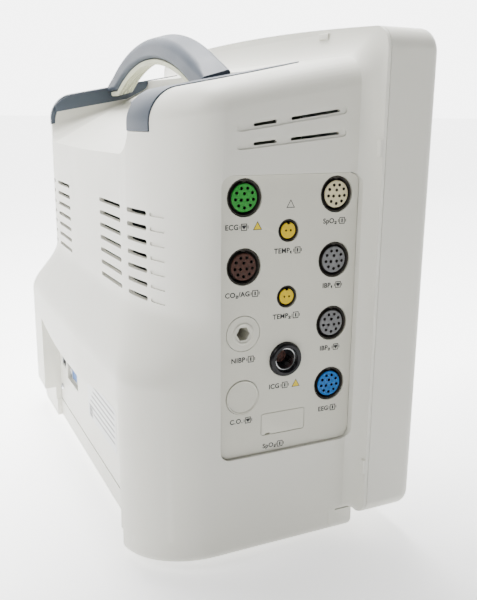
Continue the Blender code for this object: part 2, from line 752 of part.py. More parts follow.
def make_rear_connectors():
    outline = bay_outline(IO_X[0] + GAP, IO_X[1] - GAP, BODY_Z0 + 0.0008, -GAP)
    panel = solid("io_panel", prism(outline, "XZ", IO_FACE_Y - 0.0030, IO_FACE_Y), "housing")
    cut(panel, prism(rectangle(*JACK_X, *JACK_Z), "XZ", 0.060, 0.090), "jack_hole")
    cut(panel, prism(rectangle(*VIDEO_X, *VIDEO_Z), "XZ", 0.060, 0.090), "video_hole")

    jack_low = (JACK_X[0] + GAP, 0.0580, JACK_Z[0] + GAP)
    jack_high = (JACK_X[1] - GAP, IO_FACE_Y - GAP, JACK_Z[1] - GAP)
    jack = solid("network_jack", box_mesh(jack_low, jack_high), "steel")
    slots = [
        box_mesh((JACK_X[0] + 0.0014, 0.0640, z), (JACK_X[1] - 0.0014, 0.0900, z + 0.0050))
        for z in (JACK_Z[0] + 0.0012, JACK_Z[0] + 0.0073)
    ]
    cut(jack, merged(slots), "jack_slots")

    port = solid("video_port", box_mesh(
        (VIDEO_X[0] + GAP, 0.0600, VIDEO_Z[0] + GAP), (VIDEO_X[1] - GAP, 0.0700, VIDEO_Z[1] - GAP)), "grey")
    shroud = prism(rectangle(
        VIDEO_X[0] + 0.0075, VIDEO_X[1] - 0.0075, VIDEO_Z[0] + 0.0022, VIDEO_Z[1] - 0.0022, 0.002, 2),
        "XZ", 0.0680, 0.0745)
    join(port, shroud, "video_shroud")


# ---- right side: recorder, battery and mains inlet ----------------------------------------
RECORDER_Y = (-0.0220, 0.0500)
RECORDER_Z = (0.1250, 0.2150)
BATTERY_Y = (-0.0300, 0.0200)
BATTERY_Z = (0.0350, 0.1050)
INLET_Y = (0.0300, 0.0520)
INLET_Z = (0.0450, 0.0750)
STUD_Y, STUD_Z = 0.0410, 0.0900
SIDE_X = BODY_HALF
HINGE_X = SIDE_X - 0.0030


def door_leaf(y_range, z_range):
    """Flat door with a knuckle along its lower edge, turning about that knuckle's axis."""
    low_y, high_y = y_range[0] + 0.0005, y_range[1] - 0.0005
    hinge_z = z_range[0] + 0.0030
    top_z = z_range[1] - 0.0006
    outline = [(HINGE_X, hinge_z), (SIDE_X - 0.0005, hinge_z - 0.0006)]
    outline += [(SIDE_X, hinge_z + 0.0006), (SIDE_X, top_z), (HINGE_X, top_z)]
    leaf = prism(outline, "XZ", low_y, high_y)
    knuckle = disc((HINGE_X, low_y, hinge_z), "+Y", 0.0024, high_y - low_y, 12)
    return leaf, knuckle, (HINGE_X, 0.5 * (low_y + high_y), hinge_z)


def make_recorder():
    leaf, knuckle, axis = door_leaf(RECORDER_Y, RECORDER_Z)
    door = solid("recorder_door", leaf, "housing", axis)
    join(door, knuckle, "recorder_knuckle")
    slot = rectangle(-0.0120, 0.0400, 0.1640, 0.1676)
    cut(door, prism(slot, "YZ", 0.140, 0.170), "paper_slot")
    pad = box_mesh((0.140, 0.0060, 0.1990), (0.170, 0.0220, 0.2085))
    cut(door, pad, "recorder_button_hole")
    box("recorder_button", (0.1470, 0.0064, 0.1994), (SIDE_X + 0.0012, 0.0216, 0.2081), "key")

    body = solid("recorder_body", box_mesh((0.0950, -0.0210, 0.1262), (0.1450, 0.0490, 0.2140)), "grey")
    cut(body, box_mesh((0.1000, -0.0180, 0.1320), (0.1600, 0.0460, 0.2110)), "recorder_bay")
    slide = box_mesh((0.1300, -0.0300, 0.1262 - 0.01), (0.1600, 0.0600, 0.1316))
    cut(body, slide, "recorder_sill")
    paper = turned(
        [(0.0060, -0.0290), (0.0200, -0.0290), (0.0200, 0.0290), (0.0060, 0.0290)],
        (0.1225, 0.0140, 0.1560), "+Y", 24)
    solid("paper_roll", paper, "paper", (0.1225, 0.0140, 0.1560), smooth=True)
    spindle = disc((0.1225, -0.0177, 0.1560), "+Y", 0.0050, 0.0634, 16)
    solid("paper_spindle", spindle, "black", smooth=True)
    roller = disc((0.1380, -0.0170, 0.1890), "+Y", 0.0050, 0.0620, 16)
    solid("platen_roller", roller, "rubber", (0.1380, 0.0140, 0.1890), smooth=True)


def make_battery():
    leaf, knuckle, axis = door_leaf(BATTERY_Y, BATTERY_Z)
    door = solid("battery_door", leaf, "housing", axis)
    join(door, knuckle, "battery_knuckle")
    cut(door, box_mesh((0.140, -0.0140, 0.0900), (0.170, 0.0040, 0.0990)), "latch_hole")
    box("battery_latch", (0.1485, -0.0136, 0.0904), (SIDE_X + 0.0008, 0.0016, 0.0986), "key")
    box("battery_pack", (0.0450, -0.0280, 0.0400), (0.1440, 0.0180, 0.1020), "black", 0.002)


def make_mains_inlet():
    inlet_low = (0.1300, INLET_Y[0] + GAP, INLET_Z[0] + GAP)
    inlet_high = (SIDE_X - 0.0008, INLET_Y[1] - GAP, INLET_Z[1] - GAP)
    inlet = solid("mains_inlet", box_mesh(inlet_low, inlet_high), "black")
    low_y, high_y = INLET_Y[0] + 0.0022, INLET_Y[1] - 0.0022
    low_z, high_z = INLET_Z[0] + 0.0028, INLET_Z[1] - 0.0028
    mouth = [
        (low_y, low_z), (high_y - 0.0040, low_z), (high_y, low_z + 0.0040),
        (high_y, high_z - 0.0040), (high_y - 0.0040, high_z), (low_y, high_z),
    ]
    cut(inlet, prism(mouth, "YZ", 0.1360, 0.1700), "inlet_mouth")
    for index, z in enumerate((0.0530, 0.0600, 0.0670)):
        pin = box_mesh((0.1340, 0.0398, z - 0.0010), (0.1500, 0.0422, z + 0.0010))
        join(inlet, pin, "inlet_pin_%d" % index)
    profile = [
        (0.0, -0.0160), (0.0032, -0.0160), (0.0032, -0.0006),
        (0.0024, -0.0006), (0.0024, 0.0060), (0.0, 0.0060),
    ]
    stud = turned(profile, (SIDE_X, STUD_Y, STUD_Z), "+X", 16)
    solid("ground_stud", stud, "steel", smooth=True)


# ---- base ---------------------------------------------------------------------------------
FOOT_X = 0.118
FOOT_Y = (-0.030, 0.060)
PLATE_HALF = (0.052, 0.030)
PLATE_CENTRE_Y = 0.015


def make_base():
    rings = []
    height = BODY_Z0 - GAP - BOTTOM_Z
    for lift, inset in ((0.0, 0.0050), (0.0015, 0.0022), (0.0040, 0.0012), (height, 0.0008)):
        rings.append([(x, y, BOTTOM_Z + lift) for x, y in plan_outline(1.0, inset, RIM_Y + inset)])
    tray = solid("base_tray", loft(rings), "housing")
    inner = plan_outline(1.0, 0.0042, RIM_Y + 0.0040)
    floor_z = BOTTOM_Z + 0.0060
    hollow = solid("cut_tray_hollow", loft([[(x, y, z) for x, y in inner] for z in (floor_z, 0.03)]))
    under_bay = rectangle(IO_X[0] - WALL, IO_X[1] + WALL, -0.01, 0.05)
    cut(hollow, prism(under_bay, "XZ", IO_FACE_Y - WALL, 0.120), "tray_hollow_bay")
    cut(hollow, wing_step_form(WALL + 0.0008), "tray_hollow_wing")
    combine(tray, hollow, "DIFFERENCE")
    cut(tray, prism(rectangle(*IO_X, -0.01, 0.05), "XZ", IO_FACE_Y, 0.120), "tray_bay")
    cut(tray, wing_step_form(0.0008), "tray_wing")
    under_flange = box_mesh((-0.170, RIM_Y - 0.005, BEZEL_Z[0] - GAP), (0.170, -0.0330, 0.030))
    cut(tray, under_flange, "tray_flange")
    for index, x in enumerate((-FOOT_X, FOOT_X)):
        for row, y in enumerate(FOOT_Y):
            number = 2 * index + row + 1
            cut(tray, disc((x, y, BOTTOM_Z - 0.01), "+Z", 0.0085, 0.0128, 20), "foot_seat_%d" % number)
            profile = [(0.0, 0.0), (0.0070, 0.0), (0.0082, 0.0012), (0.0082, 0.0074), (0.0, 0.0074)]
            solid("foot_%d" % number, turned(profile, (x, y, 0.0), "+Z", 20), "rubber", smooth=True)
    half_x, half_y = PLATE_HALF
    plate = rectangle(-half_x, half_x, PLATE_CENTRE_Y - half_y, PLATE_CENTRE_Y + half_y, 0.004, 3)
    solid("mount_plate", prism(plate, "XY", 0.0020, BOTTOM_Z - GAP), "steel")


# ---- inside -------------------------------------------------------------------------------
def make_inside():
    box("chassis_plate", (-0.140, -0.0560, 0.0300), (0.140, -0.0540, 0.2600), "aluminium")
    box("main_board", (-0.125, -0.0480, 0.0500), (0.085, -0.0464, 0.2300), "board")
    box("parameter_board", (-0.1310, -0.0380, 0.0620), (-0.1290, 0.0400, 0.2150), "board")
    box("power_supply", (-0.045, 0.0100, 0.0280), (0.0260, 0.0640, 0.0700), "aluminium", 0.001)
    pump = disc((-0.075, -0.0300, 0.0480), "+Y", 0.0135, 0.0600, 20)
    solid("nibp_pump", pump, "steel", smooth=True)
    box("valve_block", (-0.110, 0.0400, 0.0350), (-0.092, 0.0660, 0.0620), "black", 0.001)
    sink = solid("heat_sink", box_mesh((-0.070, -0.0440, 0.1300), (0.020, -0.0390, 0.2000)), "aluminium")
    for index in range(8):
        x = -0.068 + 0.0120 * index
        join(sink, box_mesh((x, -0.0400, 0.1302), (x + 0.0018, -0.0260, 0.1998)), "fin_%d" % index)
    speaker = turned(
        [(0.0, 0.0), (0.0200, 0.0), (0.0200, 0.0030), (0.0110, 0.0080), (0.0110, 0.0150), (0.0, 0.0150)],
        (0.060, 0.0200, 0.0240), "+Z", 20)
    solid("speaker", speaker, "black", smooth=True)


def main():
    for thing in list(bpy.data.objects):
        bpy.data.objects.remove(thing)
    make_rear_housing()
    make_handle()
    make_grip()
    make_socket_panel()
    make_sockets()
    make_front_parts()
    make_rear_connectors()
    make_recorder()
    make_battery()
    make_mains_inlet()
    make_base()
    make_inside()


main()
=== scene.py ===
import math

import bpy
from mathutils import Matrix, Vector


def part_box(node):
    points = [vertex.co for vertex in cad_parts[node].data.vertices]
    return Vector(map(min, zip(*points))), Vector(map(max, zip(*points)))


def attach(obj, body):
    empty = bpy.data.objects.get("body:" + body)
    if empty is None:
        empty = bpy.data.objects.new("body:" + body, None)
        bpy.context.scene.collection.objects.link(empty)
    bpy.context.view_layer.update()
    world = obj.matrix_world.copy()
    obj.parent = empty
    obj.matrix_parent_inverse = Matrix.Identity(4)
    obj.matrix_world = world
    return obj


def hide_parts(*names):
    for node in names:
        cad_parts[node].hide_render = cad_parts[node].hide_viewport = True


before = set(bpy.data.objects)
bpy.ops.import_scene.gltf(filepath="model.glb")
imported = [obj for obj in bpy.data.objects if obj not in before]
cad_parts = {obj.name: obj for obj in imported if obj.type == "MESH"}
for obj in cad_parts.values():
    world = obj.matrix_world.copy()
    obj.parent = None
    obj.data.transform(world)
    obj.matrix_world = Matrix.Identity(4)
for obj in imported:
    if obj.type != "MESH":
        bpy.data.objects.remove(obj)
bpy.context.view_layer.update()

# ---- sizes of the moulded housing ---------------------------------------------------------
BODY_HALF = 0.153
BEZEL_HALF = 0.166
RIM_Y = -0.045
FLARE_Y = -0.034
FRONT_Y = -0.0765
REAR_TOP_Y = 0.073
REAR_LOW_Y = 0.090
REAR_BOW = 0.002
BULGE_Z = (0.105, 0.1445)
TOP_CORNER = (0.070, 0.032)
LOW_CORNER = (0.036, 0.045)
BODY_Z0 = 0.019
TOP_AT_ORIGIN = 0.2675
TOP_SLOPE = -0.19
TOP_ROUND = 0.015
BEZEL_Z = (0.018, 0.288)
BEZEL_CROWN = 0.005
RIM_TOP_RADIUS = 0.011
RIM_LOW_RADIUS = 0.009
WALL = 0.003
GAP = 0.0003
BOTTOM_Z = 0.005

# Cutting tools run clear of the object to these places.
ABOVE = 0.330
BEHIND = 0.120
BELOW = -0.01
SIDE_CUT = (0.140, 0.170)
FRONT_CUT = (-0.090, -0.060)

RECESS_HALF = 0.0965
SCOOP_LOW_Z = 0.2220
SCOOP_RISE = 0.0310
SCOOP_REACH = 0.0600
SCOOP_STATIONS = (0.110, 0.073, 0.064, 0.053, 0.043, 0.033, 0.023, 0.013, 0.0)
SCOOP_FRONT_Y = -0.0052
IO_X = (-0.121, 0.0875)
IO_FACE_Y = 0.076
HOOD_Z = 0.0808
HOOD_RISE = 0.0135
WING_STEP = (0.0803, 0.0290)
PANEL_LOW, PANEL_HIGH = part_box("socket_panel")
PANEL_X = PANEL_LOW.x
SOCKET_ROWS = (0.204, 0.1688, 0.1333, 0.0979)
MID_ROWS = (0.1862, 0.1509, 0.1161)
SOCKET_COLS = (0.028, 0.0025, -0.0259)
KEY_Z = 0.048
KNOB_X = 0.126
POWER_X = -0.126


# ---- camera, light and floor --------------------------------------------------------------
CAMERA_PLACE = (-0.48692, 0.18951, 0.24514)
CAMERA_FORWARD = (0.877, -0.41416, -0.24361)
CAMERA_UP = (0.22433, -0.09542, 0.96983)
BRIGHT_SIDE = (0.90, -0.43, 0.0)
OBJECT_MIDDLE = (0.0, 0.0, 0.14)
# name, place, size, power and colour
LAMPS = (
    ("key_light", (-0.15, 0.85, 0.95), 0.5, 9.0, (1.0, 0.99, 0.97)),
    ("top_light", (0.15, -0.02, 1.05), 0.5, 26.0, (1.0, 1.0, 1.0)),
    ("front_fill", (0.50, -1.60, 0.90), 1.4, 10.0, (1.0, 1.0, 1.0)),
    ("side_fill", (-1.60, -0.30, 0.45), 1.2, 0.5, (1.0, 1.0, 1.0)),
)


def aim(thing, place, forward, up):
    """Place a camera or lamp so that it looks along forward."""
    ahead = Vector(forward).normalized()
    right = ahead.cross(Vector(up)).normalized()
    above = right.cross(ahead)
    thing.matrix_world = Matrix.Translation(place) @ Matrix((right, above, -ahead)).transposed().to_4x4()


def make_camera():
    camera = bpy.data.objects.new("camera", bpy.data.cameras.new("camera"))
    bpy.context.scene.collection.objects.link(camera)
    camera.data.sensor_width = 36.0
    camera.data.lens = 44.735
    camera.data.clip_start = 0.01
    aim(camera, CAMERA_PLACE, CAMERA_FORWARD, CAMERA_UP)
    bpy.context.scene.camera = camera


def lamp(name, place, size, power, colour):
    data = bpy.data.lights.new(name, "AREA")
    data.shape = "DISK"
    data.size = size
    data.energy = power
    data.color = colour
    thing = bpy.data.objects.new(name, data)
    bpy.context.scene.collection.objects.link(thing)
    aim(thing, place, Vector(OBJECT_MIDDLE) - Vector(place), (0.0, 0.0, 1.0))


def make_sky():
    """White surroundings that are brightest beyond the object, as a lit paper sweep is."""
    world = bpy.data.worlds.new("studio")
    world.use_nodes = True
    tree = world.node_tree
    place = node(tree, "ShaderNodeTexCoord")
    side = node(tree, "ShaderNodeVectorMath", operation="DOT_PRODUCT")
    side.inputs[1].default_value = BRIGHT_SIDE
    tree.links.new(place.outputs["Generated"], side.inputs[0])
    back = tree.nodes["Background"]
    back.inputs["Color"].default_value = (1.0, 1.0, 1.0, 1.0)
    vary(tree, side.outputs["Value"], 0.25, 6.0, back.inputs["Strength"], (0.25, 0.85))
    bpy.context.scene.world = world


def make_studio():
    make_sky()
    for name, place, size, power, colour in LAMPS:
        lamp(name, place, size, power, colour)
    deselect()
    bpy.ops.mesh.primitive_plane_add(size=80.0, location=(0.0, 0.0, 0.0))
    floor = bpy.context.object
    floor.name = "floor"
    floor.data.materials.append(floor_paper())


# ---- materials ----------------------------------------------------------------------------
def new_material(name):
    made = bpy.data.materials.new(name)
    made.use_nodes = True
    return made, made.node_tree, made.node_tree.nodes["Principled BSDF"]


def node(tree, kind, inputs=None, **settings):
    made = tree.nodes.new(kind)
    for key, value in settings.items():
        setattr(made, key, value)
    for key, value in (inputs or {}).items():
        made.inputs[key].default_value = value
    return made


def noise(tree, scale, detail=3.0, stretch=None):
    """Noise on the piece's own coordinates; stretch makes it run in one direction."""
    place = node(tree, "ShaderNodeTexCoord")
    made = node(tree, "ShaderNodeTexNoise", {"Scale": scale, "Detail": detail})
    if stretch:
        mapping = node(tree, "ShaderNodeMapping", {"Scale": stretch})
        tree.links.new(place.outputs["Object"], mapping.inputs["Vector"])
        tree.links.new(mapping.outputs["Vector"], made.inputs["Vector"])
    else:
        tree.links.new(place.outputs["Object"], made.inputs["Vector"])
    return made


def vary(tree, source, low, high, target, spread=(0.35, 0.65)):
    """Send a noise to a number socket, between low and high."""
    made = node(tree, "ShaderNodeMapRange", {
        "From Min": spread[0], "From Max": spread[1], "To Min": low, "To Max": high})
    tree.links.new(source, made.inputs["Value"])
    tree.links.new(made.outputs["Result"], target)


def blend_colours(tree, share, first, second):
    """Colour mix whose two ends are colours or other colour outputs."""
    made = node(tree, "ShaderNodeMix", data_type="RGBA")
    tree.links.new(share, made.inputs[0])
    for place, value in ((6, first), (7, second)):
        if hasattr(value, "links"):
            tree.links.new(value, made.inputs[place])
        else:
            made.inputs[place].default_value = (*value, 1.0)
    return made.outputs[2]


def edge_sheen_and_wear(tree, strength):
    """Mask that is strongest along outer edges: a painted highlight along them, together with rubbed wear."""
    shape = node(tree, "ShaderNodeNewGeometry")
    made = node(tree, "ShaderNodeMapRange", {
        "From Min": 0.53, "From Max": 0.62, "To Min": 0.0, "To Max": strength})
    tree.links.new(shape.outputs["Pointiness"], made.inputs["Value"])
    return made.outputs["Result"]


def bump(tree, shader, height, strength, distance):
    made = node(tree, "ShaderNodeBump", {"Strength": strength, "Distance": distance})
    tree.links.new(height, made.inputs["Height"])
    tree.links.new(made.outputs["Normal"], shader.inputs["Normal"])


def grain(tree, shader, scale, strength, distance=0.0002, stretch=None):
    bump(tree, shader, noise(tree, scale, 3.0, stretch).outputs["Fac"], strength, distance)


def coat(tree, shader, tone, unevenness, smooth, rough):
    """Base colour, and a roughness that wanders between two values."""
    tree.links.new(tone, shader.inputs["Base Color"])
    vary(tree, unevenness.outputs["Fac"], smooth, rough, shader.inputs["Roughness"])


def shade(colour, factor):
    return tuple(min(1.0, channel * factor) for channel in colour)


def moulded(name, colour, roughness, texture=1400.0, depth=0.22, edge=1.12, gloss=0.42):
    """Injection-moulded plastic: fine spark grain, faint handling marks, and outer edges made lighter, partly
    as rubbed wear and partly as a painted highlight.
    """
    made, tree, shader = new_material(name)
    soil = noise(tree, 9.0, 5.0)
    tone = blend_colours(tree, soil.outputs["Fac"], shade(colour, 0.955), shade(colour, 1.025))
    # outer edges lightened by the edge factor: a painted highlight along the edges, with rubbed wear
    sheen_and_wear_tone = blend_colours(tree, edge_sheen_and_wear(tree, 0.55), tone, shade(colour, edge))
    coat(tree, shader, sheen_and_wear_tone, noise(tree, 26.0, 4.0), roughness - 0.05, roughness + 0.06)
    shader.inputs["Specular IOR Level"].default_value = gloss
    grain(tree, shader, texture, depth)
    return made


def rubber(name, colour):
    made, tree, shader = new_material(name)
    dust = noise(tree, 60.0, 6.0)
    tone = blend_colours(tree, dust.outputs["Fac"], shade(colour, 0.85), shade(colour, 1.25))
    coat(tree, shader, tone, noise(tree, 180.0), 0.72, 0.92)
    shader.inputs["Specular IOR Level"].default_value = 0.3
    shader.inputs["Sheen Weight"].default_value = 0.15
    grain(tree, shader, 900.0, 0.45)
    return made


def metal(name, colour, roughness, stretch=(1.0, 1.0, 30.0), scale=120.0):
    """Brushed or drawn metal with fine lines along one direction and a few scuffs."""
    made, tree, shader = new_material(name)
    shader.inputs["Metallic"].default_value = 1.0
    marks = noise(tree, 40.0, 6.0)
    tone = blend_colours(tree, marks.outputs["Fac"], shade(colour, 0.86), shade(colour, 1.08))
    # outer edges brightened: a painted highlight along the edges, with rubbed wear
    bright = blend_colours(tree, edge_sheen_and_wear(tree, 0.6), tone, shade(colour, 1.25))
    coat(tree, shader, bright, noise(tree, scale, 4.0, stretch), roughness - 0.08, roughness + 0.12)
    grain(tree, shader, scale, 0.12, 0.0001, stretch)
    return made


def screen_glass(name):
    """Dark front glass with a faint smear pattern in its gloss."""
    made, tree, shader = new_material(name)
    haze = noise(tree, 14.0, 5.0)
    tone = blend_colours(tree, haze.outputs["Fac"], (0.006, 0.007, 0.009), (0.012, 0.014, 0.017))
    coat(tree, shader, tone, noise(tree, 22.0, 6.0), 0.07, 0.16)
    shader.inputs["Specular IOR Level"].default_value = 0.6
    shader.inputs["Coat Weight"].default_value = 0.5
    shader.inputs["Coat Roughness"].default_value = 0.05
    grain(tree, shader, 300.0, 0.02, 0.00005)
    return made


def lamp_lens(name, colour):
    """Moulded light cover, ribbed inside."""
    made, tree, shader = new_material(name)
    place = node(tree, "ShaderNodeTexCoord")
    ribs = node(tree, "ShaderNodeTexWave", {"Scale": 320.0, "Distortion": 0.2}, bands_direction="X")
    tree.links.new(place.outputs["Object"], ribs.inputs["Vector"])
    tone = blend_colours(tree, ribs.outputs["Fac"], shade(colour, 0.8), shade(colour, 1.15))
    coat(tree, shader, tone, noise(tree, 50.0), 0.12, 0.28)
    shader.inputs["Subsurface Weight"].default_value = 0.25
    shader.inputs["Subsurface Radius"].default_value = (0.004, 0.003, 0.002)
    bump(tree, shader, ribs.outputs["Fac"], 0.25, 0.0003)
    return made


def circuit(name):
    """Green solder mask over copper tracks, with bright pads."""
    made, tree, shader = new_material(name)
    place = node(tree, "ShaderNodeTexCoord")
    tracks = node(tree, "ShaderNodeTexBrick", {"Scale": 90.0, "Mortar Size": 0.03, "Bias": -0.4})
    tree.links.new(place.outputs["Object"], tracks.inputs["Vector"])
    pads = node(tree, "ShaderNodeTexVoronoi", {"Scale": 260.0})
    tree.links.new(place.outputs["Object"], pads.inputs["Vector"])
    near = node(tree, "ShaderNodeMapRange", {
        "From Min": 0.10, "From Max": 0.16, "To Min": 1.0, "To Max": 0.0})
    tree.links.new(pads.outputs["Distance"], near.inputs["Value"])
    mask = blend_colours(tree, tracks.outputs["Fac"], (0.012, 0.10, 0.045), (0.03, 0.20, 0.085))
    tone = blend_colours(tree, near.outputs["Result"], mask, (0.62, 0.52, 0.30))
    tree.links.new(near.outputs["Result"], shader.inputs["Metallic"])
    coat(tree, shader, tone, noise(tree, 60.0), 0.28, 0.45)
    bump(tree, shader, tracks.outputs["Fac"], 0.3, 0.0001)
    return made


def chart_paper(name):
    """Heat-sensitive recorder paper with fine fibres."""
    made, tree, shader = new_material(name)
    fibre = noise(tree, 500.0, 6.0, (1.0, 0.3, 1.0))
    tone = blend_colours(tree, fibre.outputs["Fac"], (0.78, 0.77, 0.73), (0.90, 0.89, 0.86))
    coat(tree, shader, tone, noise(tree, 90.0), 0.7, 0.9)
    grain(tree, shader, 800.0, 0.3)
    return made


def printed(name, colour):
    """Screen-printed ink: slightly uneven, a little shinier than the plastic below."""
    made, tree, shader = new_material(name)
    spread = noise(tree, 700.0, 4.0)
    tone = blend_colours(tree, spread.outputs["Fac"], shade(colour, 0.8), shade(colour, 1.2))
    coat(tree, shader, tone, noise(tree, 300.0), 0.38, 0.55)
    grain(tree, shader, 1500.0, 0.1, 0.0001)
    return made


def floor_paper():
    """Pale paper that glows: painted light, an emission that is zero on the camera's side and strongest
    beyond the object, lighting it from below.
    """
    made, tree, shader = new_material("studio_floor")
    tone = blend_colours(tree, noise(tree, 1.3, 3.0).outputs["Fac"], (0.89, 0.89, 0.89), (0.92, 0.92, 0.915))
    coat(tree, shader, tone, noise(tree, 5.0), 0.75, 0.85)
    grain(tree, shader, 220.0, 0.05)
    shader.inputs["Emission Color"].default_value = (1.0, 1.0, 1.0, 1.0)
    place = node(tree, "ShaderNodeTexCoord")
    parts = node(tree, "ShaderNodeSeparateXYZ")
    tree.links.new(place.outputs["Object"], parts.inputs["Vector"])
    # painted light: emission strength rises from nothing at x -0.24 to 3.6 beyond x 0.08
    vary(tree, parts.outputs["X"], 0.0, 3.6, shader.inputs["Emission Strength"], (-0.24, 0.08))
    return made


OFF_WHITE = (0.640, 0.634, 0.572)
FINISH = {
    "housing": moulded("housing_plastic", OFF_WHITE, 0.46),
    "panel": moulded("panel_plastic", (0.560, 0.552, 0.478), 0.50, 1800.0, 0.18),
    "slate": moulded("slate_soft_touch", (0.047, 0.060, 0.080), 0.48, 1600.0, 0.30, 1.35),
    "grip": rubber("grip_rubber", (0.46, 0.47, 0.35)),
    "green": moulded("green_insert", (0.018, 0.215, 0.026), 0.36, 1200.0, 0.10, 1.2, 0.22),
    "brown": moulded("brown_insert", (0.042, 0.014, 0.008), 0.42, 1200.0, 0.10, 1.3, 0.22),
    "cream": moulded("cream_insert", (0.560, 0.510, 0.320), 0.40, 1200.0, 0.10, 1.1, 0.22),
    "grey": moulded("grey_insert", (0.145, 0.148, 0.152), 0.42, 1200.0, 0.10, 1.25, 0.22),
    "blue": moulded("blue_insert", (0.0, 0.105, 0.370), 0.38, 1200.0, 0.10, 1.2, 0.22),
    "yellow": moulded("yellow_insert", (0.600, 0.420, 0.0), 0.38, 1200.0, 0.10, 1.1, 0.22),
    "black": moulded("black_plastic", (0.0030, 0.0030, 0.0042), 0.22, 1200.0, 0.08, 1.8, 0.25),
    # painted shade: dark olive-grey put on the deep faces of sockets and ports in place of the shadow inside
    # them
    "painted_shade": moulded("socket_painted_shade", (0.030, 0.027, 0.021), 0.75, 1200.0, 0.12, 1.5),
    "rubber": rubber("foot_rubber", (0.030, 0.030, 0.031)),
    "clear": screen_glass("screen_glass"),
    "amber": lamp_lens("alarm_amber", (0.70, 0.40, 0.12)),
    "steel": metal("drawn_steel", (0.56, 0.57, 0.58), 0.32),
    "aluminium": metal("rolled_aluminium", (0.72, 0.73, 0.74), 0.38, (30.0, 1.0, 1.0)),
    "board": circuit("circuit_board"),
    "paper": chart_paper("chart_paper"),
    "key": moulded("key_silicone", (0.170, 0.185, 0.205), 0.56, 1500.0, 0.2, 1.25),
}
INK = printed("label_ink", (0.010, 0.010, 0.011))
WHITE_INK = printed("label_white", (0.80, 0.80, 0.78))
YELLOW_INK = printed("label_yellow", (0.64, 0.48, 0.0))
FOIL = printed("rating_foil", (0.62, 0.63, 0.62))


# ---- working with meshes ------------------------------------------------------------------
def deselect():
    if bpy.context.object and bpy.context.object.mode != "OBJECT":
        bpy.ops.object.mode_set(mode="OBJECT")
    bpy.ops.object.select_all(action="DESELECT")


def pick(thing):
    deselect()
    thing.select_set(True)
    bpy.context.view_layer.objects.active = thing


def edit_all(thing):
    pick(thing)
    bpy.ops.object.mode_set(mode="EDIT")
    bpy.ops.mesh.select_all(action="SELECT")


def leave_edit():
    bpy.ops.object.mode_set(mode="OBJECT")


def apply(thing, kind, **settings):
    change = thing.modifiers.new(kind.lower(), kind)
    for key, value in settings.items():
        setattr(change, key, value)
    pick(thing)
    bpy.ops.object.modifier_apply(modifier=change.name)


def carve(target, tool, operation="DIFFERENCE"):
    """Cut a tool out of a piece, or join it on; the tool is used up."""
    apply(target, "BOOLEAN", object=tool, operation=operation, solver="EXACT")
    bpy.data.objects.remove(tool)


def union(pieces, name=None):
    """Gather separate bodies into one object, as a cutter or as one named piece."""
    first = pieces[0]
    if len(pieces) > 1:
        deselect()
        for piece in pieces:
            piece.select_set(True)
        bpy.context.view_layer.objects.active = first
        bpy.ops.object.join()
    if name:
        first.name = name
    return first


MERGE_DISTANCE = 0.00001
FLAT_ANGLE = math.radians(0.4)
SMOOTH_ANGLE = math.radians(38.0)


def soften(thing, width=0.0004, angle=30.0, segments=2):
    """Small edge radius and smooth shading, flat faces kept flat."""
    edit_all(thing)
    bpy.ops.mesh.remove_doubles(threshold=MERGE_DISTANCE)
    bpy.ops.mesh.dissolve_limited(angle_limit=FLAT_ANGLE)
    leave_edit()
    if width:
        apply(thing, "BEVEL", width=width, segments=segments, limit_method="ANGLE",
              angle_limit=math.radians(angle), use_clamp_overlap=True)
    pick(thing)
    bpy.ops.object.shade_smooth_by_angle(angle=SMOOTH_ANGLE)
    apply(thing, "WEIGHTED_NORMAL", keep_sharp=True, weight=60)
    return thing


def dress(thing, body, slot, *nodes, finish=None):
    """Give a finished piece its material (the slot's finish unless another is given), attach it to its body
    and hide the CAD nodes it replaces.
    """
    if not thing.data.materials:
        thing.data.materials.append(finish or FINISH[slot])
    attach(thing, body)
    if nodes:
        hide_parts(*nodes)
    return thing


def place_on(plane, a, b, depth):
    """A point of a drawing plane: XZ looks along Y, YZ along X, XY along Z."""
    return {"XZ": (a, depth, b), "YZ": (depth, a, b), "XY": (a, b, depth)}[plane]


def skin(name, rings):
    """Grid wrapped through rings of points, closed all round and at both ends."""
    deselect()
    around, along = len(rings[0]), len(rings)
    bpy.ops.mesh.primitive_grid_add(x_subdivisions=around, y_subdivisions=along - 1, size=1.0)
    thing = bpy.context.object
    thing.name = name
    for row, ring in enumerate(rings):
        for column in range(around + 1):
            thing.data.vertices[row * (around + 1) + column].co = ring[column % around]
    edit_all(thing)
    bpy.ops.mesh.remove_doubles(threshold=0.000001)
    bpy.ops.mesh.select_all(action="SELECT")
    bpy.ops.mesh.fill_holes(sides=0)
    bpy.ops.mesh.select_all(action="SELECT")
    bpy.ops.mesh.normals_make_consistent(inside=False)
    leave_edit()
    return thing


def slab(name, outline, plane, start, end):
    """Flat shape pulled to a thickness."""
    deselect()
    bpy.ops.mesh.primitive_circle_add(vertices=len(outline), fill_type="NGON")
    thing = bpy.context.object
    thing.name = name
    for vertex, (a, b) in zip(thing.data.vertices, outline):
        vertex.co = place_on(plane, a, b, start)
    edit_all(thing)
    pull = Vector(place_on(plane, 0.0, 0.0, end - start))
    bpy.ops.mesh.extrude_region_move(TRANSFORM_OT_translate={"value": pull})
    bpy.ops.mesh.select_all(action="SELECT")
    bpy.ops.mesh.normals_make_consistent(inside=False)
    leave_edit()
    return thing


def block(name, low, high):
    return slab(name, rectangle(low[0], high[0], low[1], high[1]), "XY", low[2], high[2])


FACINGS = {
    "-X": ((-1, 0, 0), (0, -1, 0)),
    "+X": ((1, 0, 0), (0, 1, 0)),
    "-Y": ((0, -1, 0), (1, 0, 0)),
    "+Y": ((0, 1, 0), (-1, 0, 0)),
    "+Z": ((0, 0, 1), (1, 0, 0)),
    "-Z": ((0, 0, -1), (1, 0, 0)),
}


